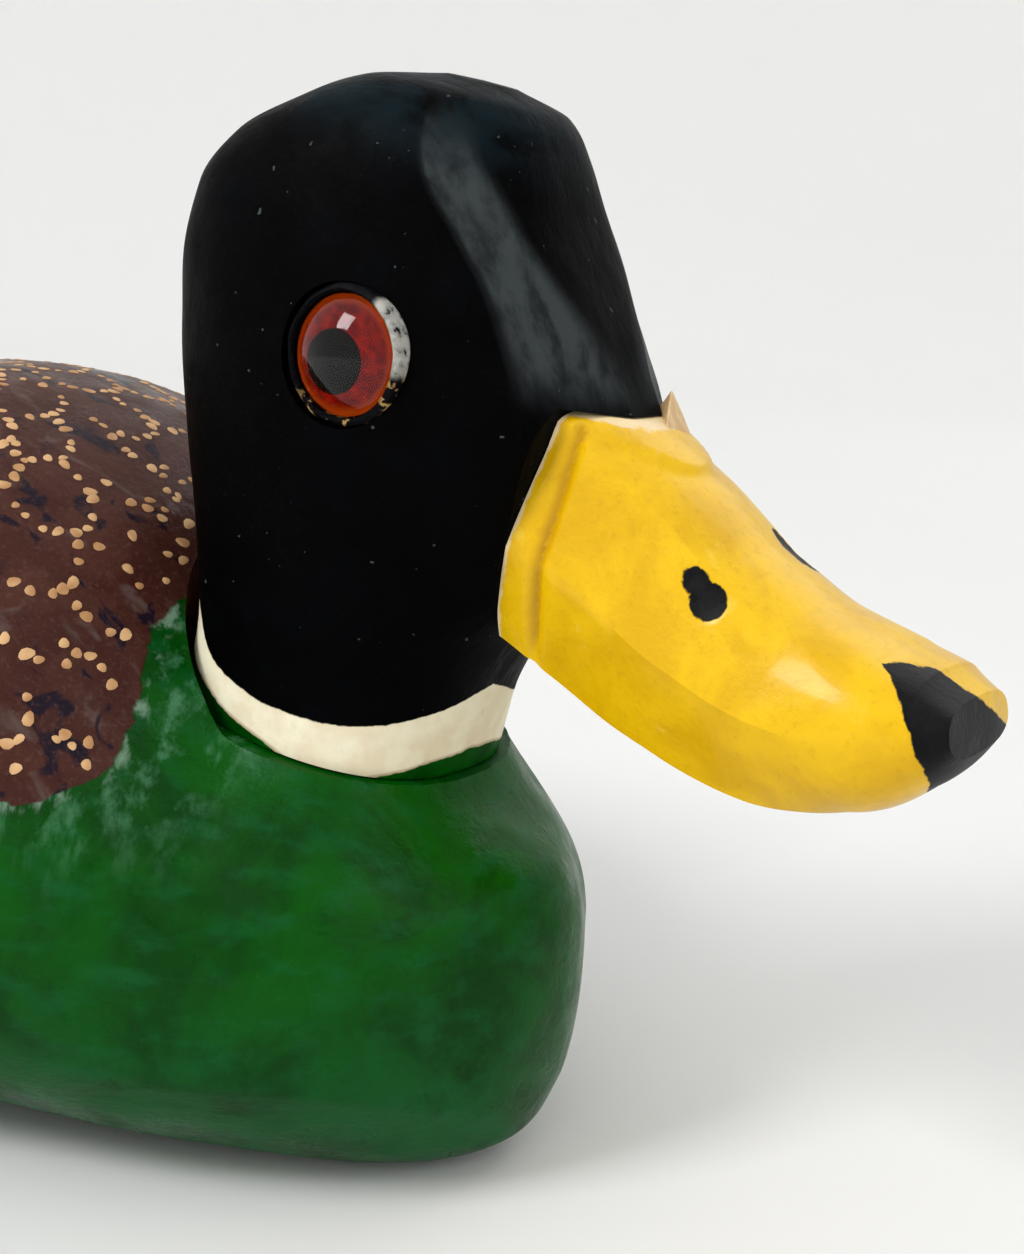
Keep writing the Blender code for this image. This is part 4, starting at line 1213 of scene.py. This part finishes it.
def glass_profile():
    """A flat back, a short rim and a domed face."""
    bulge = (GLASS_RADIUS**2 + GLASS_DOME**2) / (2 * GLASS_DOME)
    spread = math.asin(GLASS_RADIUS / bulge)
    profile = [(0, -GLASS_RIM), (GLASS_RADIUS - GLASS_ARRIS, -GLASS_RIM)]
    profile.append((GLASS_RADIUS, -GLASS_RIM + GLASS_ARRIS))
    for i in range(GLASS_STEPS):
        angle = spread * (1 - i / GLASS_STEPS)
        profile.append((bulge * math.sin(angle), GLASS_DOME - bulge * (1 - math.cos(angle))))
    profile.append((0, GLASS_DOME))
    return profile


def eye_paint(side_name, side, matrix):
    """The iris and pupil painted on the back of the glass, round the eye's centre."""
    p = Paint("iris_" + side_name)
    centre = matrix @ Vector((0.0, 0.0, IRIS_FACE))
    pupil_at = matrix @ Vector((-0.0011, 0.0010 * side, IRIS_FACE))
    rays = p.noise(0.0011, 4.0, 0.6)
    red = p.mix(p.band(rays, 0.35, 0.70), (0.130, 0.0010, 0.0006), (0.300, 0.0060, 0.0010))
    rim = p.band(p.distance(centre), 0.0050, 0.0066)
    orange = p.mix(p.times(rim, 0.8), red, (0.62, 0.085, 0.004))
    pupil = p.band(p.distance(pupil_at), 0.00345, 0.00325)
    p.set(colour=p.mix(pupil, orange, (0.0006, 0.0004, 0.0004)), roughness=0.6, specular=0.0)
    p.bump((rays, 0.00005))
    return p


p = glass = Paint("eye_glass")
p.set(
    colour=(1.0, 0.93, 0.90),
    roughness=p.band(p.noise(0.002, 2.0), 0.3, 0.8, 0.005, 0.03),
    ior=1.36,
    transmission_weight=1.0,
)
p.bump((p.noise(0.003, 2.0), 0.00002))

p = putty = Paint("putty_black")
lump = p.noise(0.0014, 4.0, 0.6)
grey = p.mix(p.band(lump, 0.35, 0.65), (0.20, 0.20, 0.19), (0.42, 0.41, 0.37))
tan = p.mix(p.band(lump, 0.40, 0.60), (0.20, 0.10, 0.04), (0.45, 0.28, 0.10))
showing = p.times(p.band(p.field("crescent"), 0.35, 0.75), p.band(lump, 0.36, 0.46))
flecks = p.times(p.field("under"), p.band(lump, 0.54, 0.60))
colour = p.mix(showing, (0.002, 0.002, 0.003), grey)
colour = p.mix(flecks, colour, tan)
p.set(colour=colour, roughness=p.band(lump, 0.3, 0.7, 0.45, 0.70), specular=0.06)
p.bump((lump, 0.0003), (p.noise(0.0004, 2.0), 0.00005))

for side_name, side in (("right", -1), ("left", 1)):
    matrix = eye_matrix(side)
    lens = put(turned("eye_lens_" + side_name, glass_profile(), 72, 50), matrix)
    dress(lens, glass, "head", "eye_glass", "eye_glass_" + side_name)
    iris_profile = [(0, iris_back), (IRIS_RADIUS, iris_back), (IRIS_RADIUS, IRIS_FACE)]
    iris_profile += [(IRIS_RADIUS * k / 6, IRIS_FACE) for k in (5, 4, 3, 2, 1)]
    iris_profile.append((0, IRIS_FACE))
    disc = put(turned("eye_disc_" + side_name, iris_profile, 48), matrix)
    dress(disc, eye_paint(side_name, side, matrix), "head", "iris_paint", "eye_iris_" + side_name)
    ring_profile = [(0.0010, socket_floor + 0.0001), (PUTTY_RADIUS, socket_floor + 0.0001)]
    ring_profile += [(PUTTY_RADIUS, 0.0000), (PUTTY_RADIUS - 0.0001, 0.0003)]
    ring_profile += [(PUTTY_RADIUS - 0.0004, 0.0006), (PUTTY_BORE + 0.0002, 0.0007)]
    ring_profile += [(PUTTY_BORE - 0.0001, 0.0004), (PUTTY_BORE - 0.0001, 0.0)]
    ring_profile += [(PUTTY_BORE, -0.0002), (PUTTY_BORE, iris_back - GAP)]
    ring_profile.append((0.0010, iris_back - GAP))
    rim = turned("eye_rim_" + side_name, ring_profile, 96, 60)
    rim_points = coordinates(rim)
    proud = step(-0.0001, 0.0004, rim_points[:, 2])
    angle = np.arctan2(rim_points[:, 1], rim_points[:, 0])
    round_rim = 2.5 * np.stack([np.cos(angle), np.sin(angle)], -1)
    uneven = np.array([noise.noise(Vector((*at, side))) for at in round_rim])
    rim_points[:, 2] += 0.00035 * proud * uneven
    rim_points[:, :2] *= (1 + 0.018 * proud * uneven)[:, None]
    move(rim, rim_points)
    put(rim, matrix)
    rim_world = local(coordinates(rim), SWIVEL)
    bearing = np.degrees(np.arctan2(rim_world[:, 2] - EYE_Z, rim_world[:, 0] - EYE_X))
    paint_field(rim, "crescent", 1 - step(20, 50, np.abs(bearing - 32)))
    paint_field(rim, "under", 1 - step(45, 80, np.abs(bearing + 65)))
    dress(rim, putty, "head", "putty", "eye_putty_" + side_name)

# ---------------------------------------------------------------- carried-over parts


def bare_wood_paint():
    p = Paint("board_wood")
    fibre = p.noise(0.0022, 6.0, 0.65, p.stretch((0.06, 1.0, 1.0)))
    cloud = p.noise(0.030, 3.0)
    tone = p.mix(p.band(fibre, 0.30, 0.70), (0.25, 0.135, 0.055), (0.52, 0.33, 0.165))
    tone = p.mix(p.band(cloud, 0.45, 0.70, 0.0, 0.35), tone, (0.17, 0.10, 0.05))
    p.set(colour=tone, roughness=p.band(fibre, 0.3, 0.7, 0.55, 0.78), specular=0.3)
    return p.bump((fibre, 0.00020), (p.noise(0.0006, 3.0), 0.00004))


def metal_paint(name, dark, bright, rust, rust_share, low_rough, high_rough):
    p = Paint(name)
    wear = p.noise(0.0028, 5.0, 0.65)
    scratch = p.noise(0.0012, 4.0, 0.6, p.stretch((0.25, 1.0, 1.0)))
    tone = p.mix(p.band(wear, 0.35, 0.65), dark, bright)
    spots = p.times(p.band(p.noise(0.0042, 5.0, 0.7), 0.52, 0.66), rust_share)
    p.set(
        colour=p.mix(spots, tone, rust),
        roughness=p.band(wear, 0.3, 0.7, low_rough, high_rough),
        metallic=p.band(spots, 0.0, 0.8, 1.0, 0.35),
    )
    return p.bump((wear, 0.00008), (scratch, 0.00005))


def leather_paint():
    p = Paint("washer_leather")
    grain = p.noise(0.0009, 4.0, 0.6)
    tone = p.mix(p.band(grain, 0.35, 0.65), (0.090, 0.036, 0.014), (0.200, 0.090, 0.038))
    p.set(colour=tone, roughness=p.band(grain, 0.3, 0.7, 0.60, 0.80), specular=0.3)
    return p.bump((grain, 0.00015))


wood = bare_wood_paint()
brass_tones = (0.30, 0.19, 0.06), (0.62, 0.43, 0.17), (0.06, 0.09, 0.05)
steel_tones = (0.30, 0.30, 0.29), (0.56, 0.56, 0.55), (0.16, 0.07, 0.03)
iron_tones = (0.06, 0.062, 0.066), (0.15, 0.152, 0.16), (0.13, 0.055, 0.024)
brass = metal_paint("aged_brass", *brass_tones, 0.5, 0.30, 0.52)
steel = metal_paint("zinc_steel", *steel_tones, 0.5, 0.28, 0.50)
iron = metal_paint("cast_ballast", *iron_tones, 0.6, 0.50, 0.72)
leather = leather_paint()
CARRIED = {
    "bottom_board": (wood, "bare_wood"),
    "bill_dowel": (wood, "bare_wood"),
    "ballast_weight": (iron, "ballast_metal"),
    "neck_washer": (leather, "leather"),
    "line_tie_staple": (brass, "brass"),
    "line_tie_ring": (brass, "brass"),
}
for name in frame["nodes"]:
    if name.startswith("bottom_screw"):
        CARRIED[name] = (brass, "brass")
    elif name.startswith(("ballast_screw", "neck_bolt", "neck_nut", "nut_washer", "eye_wire")):
        CARRIED[name] = (steel, "steel")
for name, (paint, slot) in CARRIED.items():
    node = frame["nodes"][name]
    node.data.materials.clear()
    node.data.materials.append(paint.material)
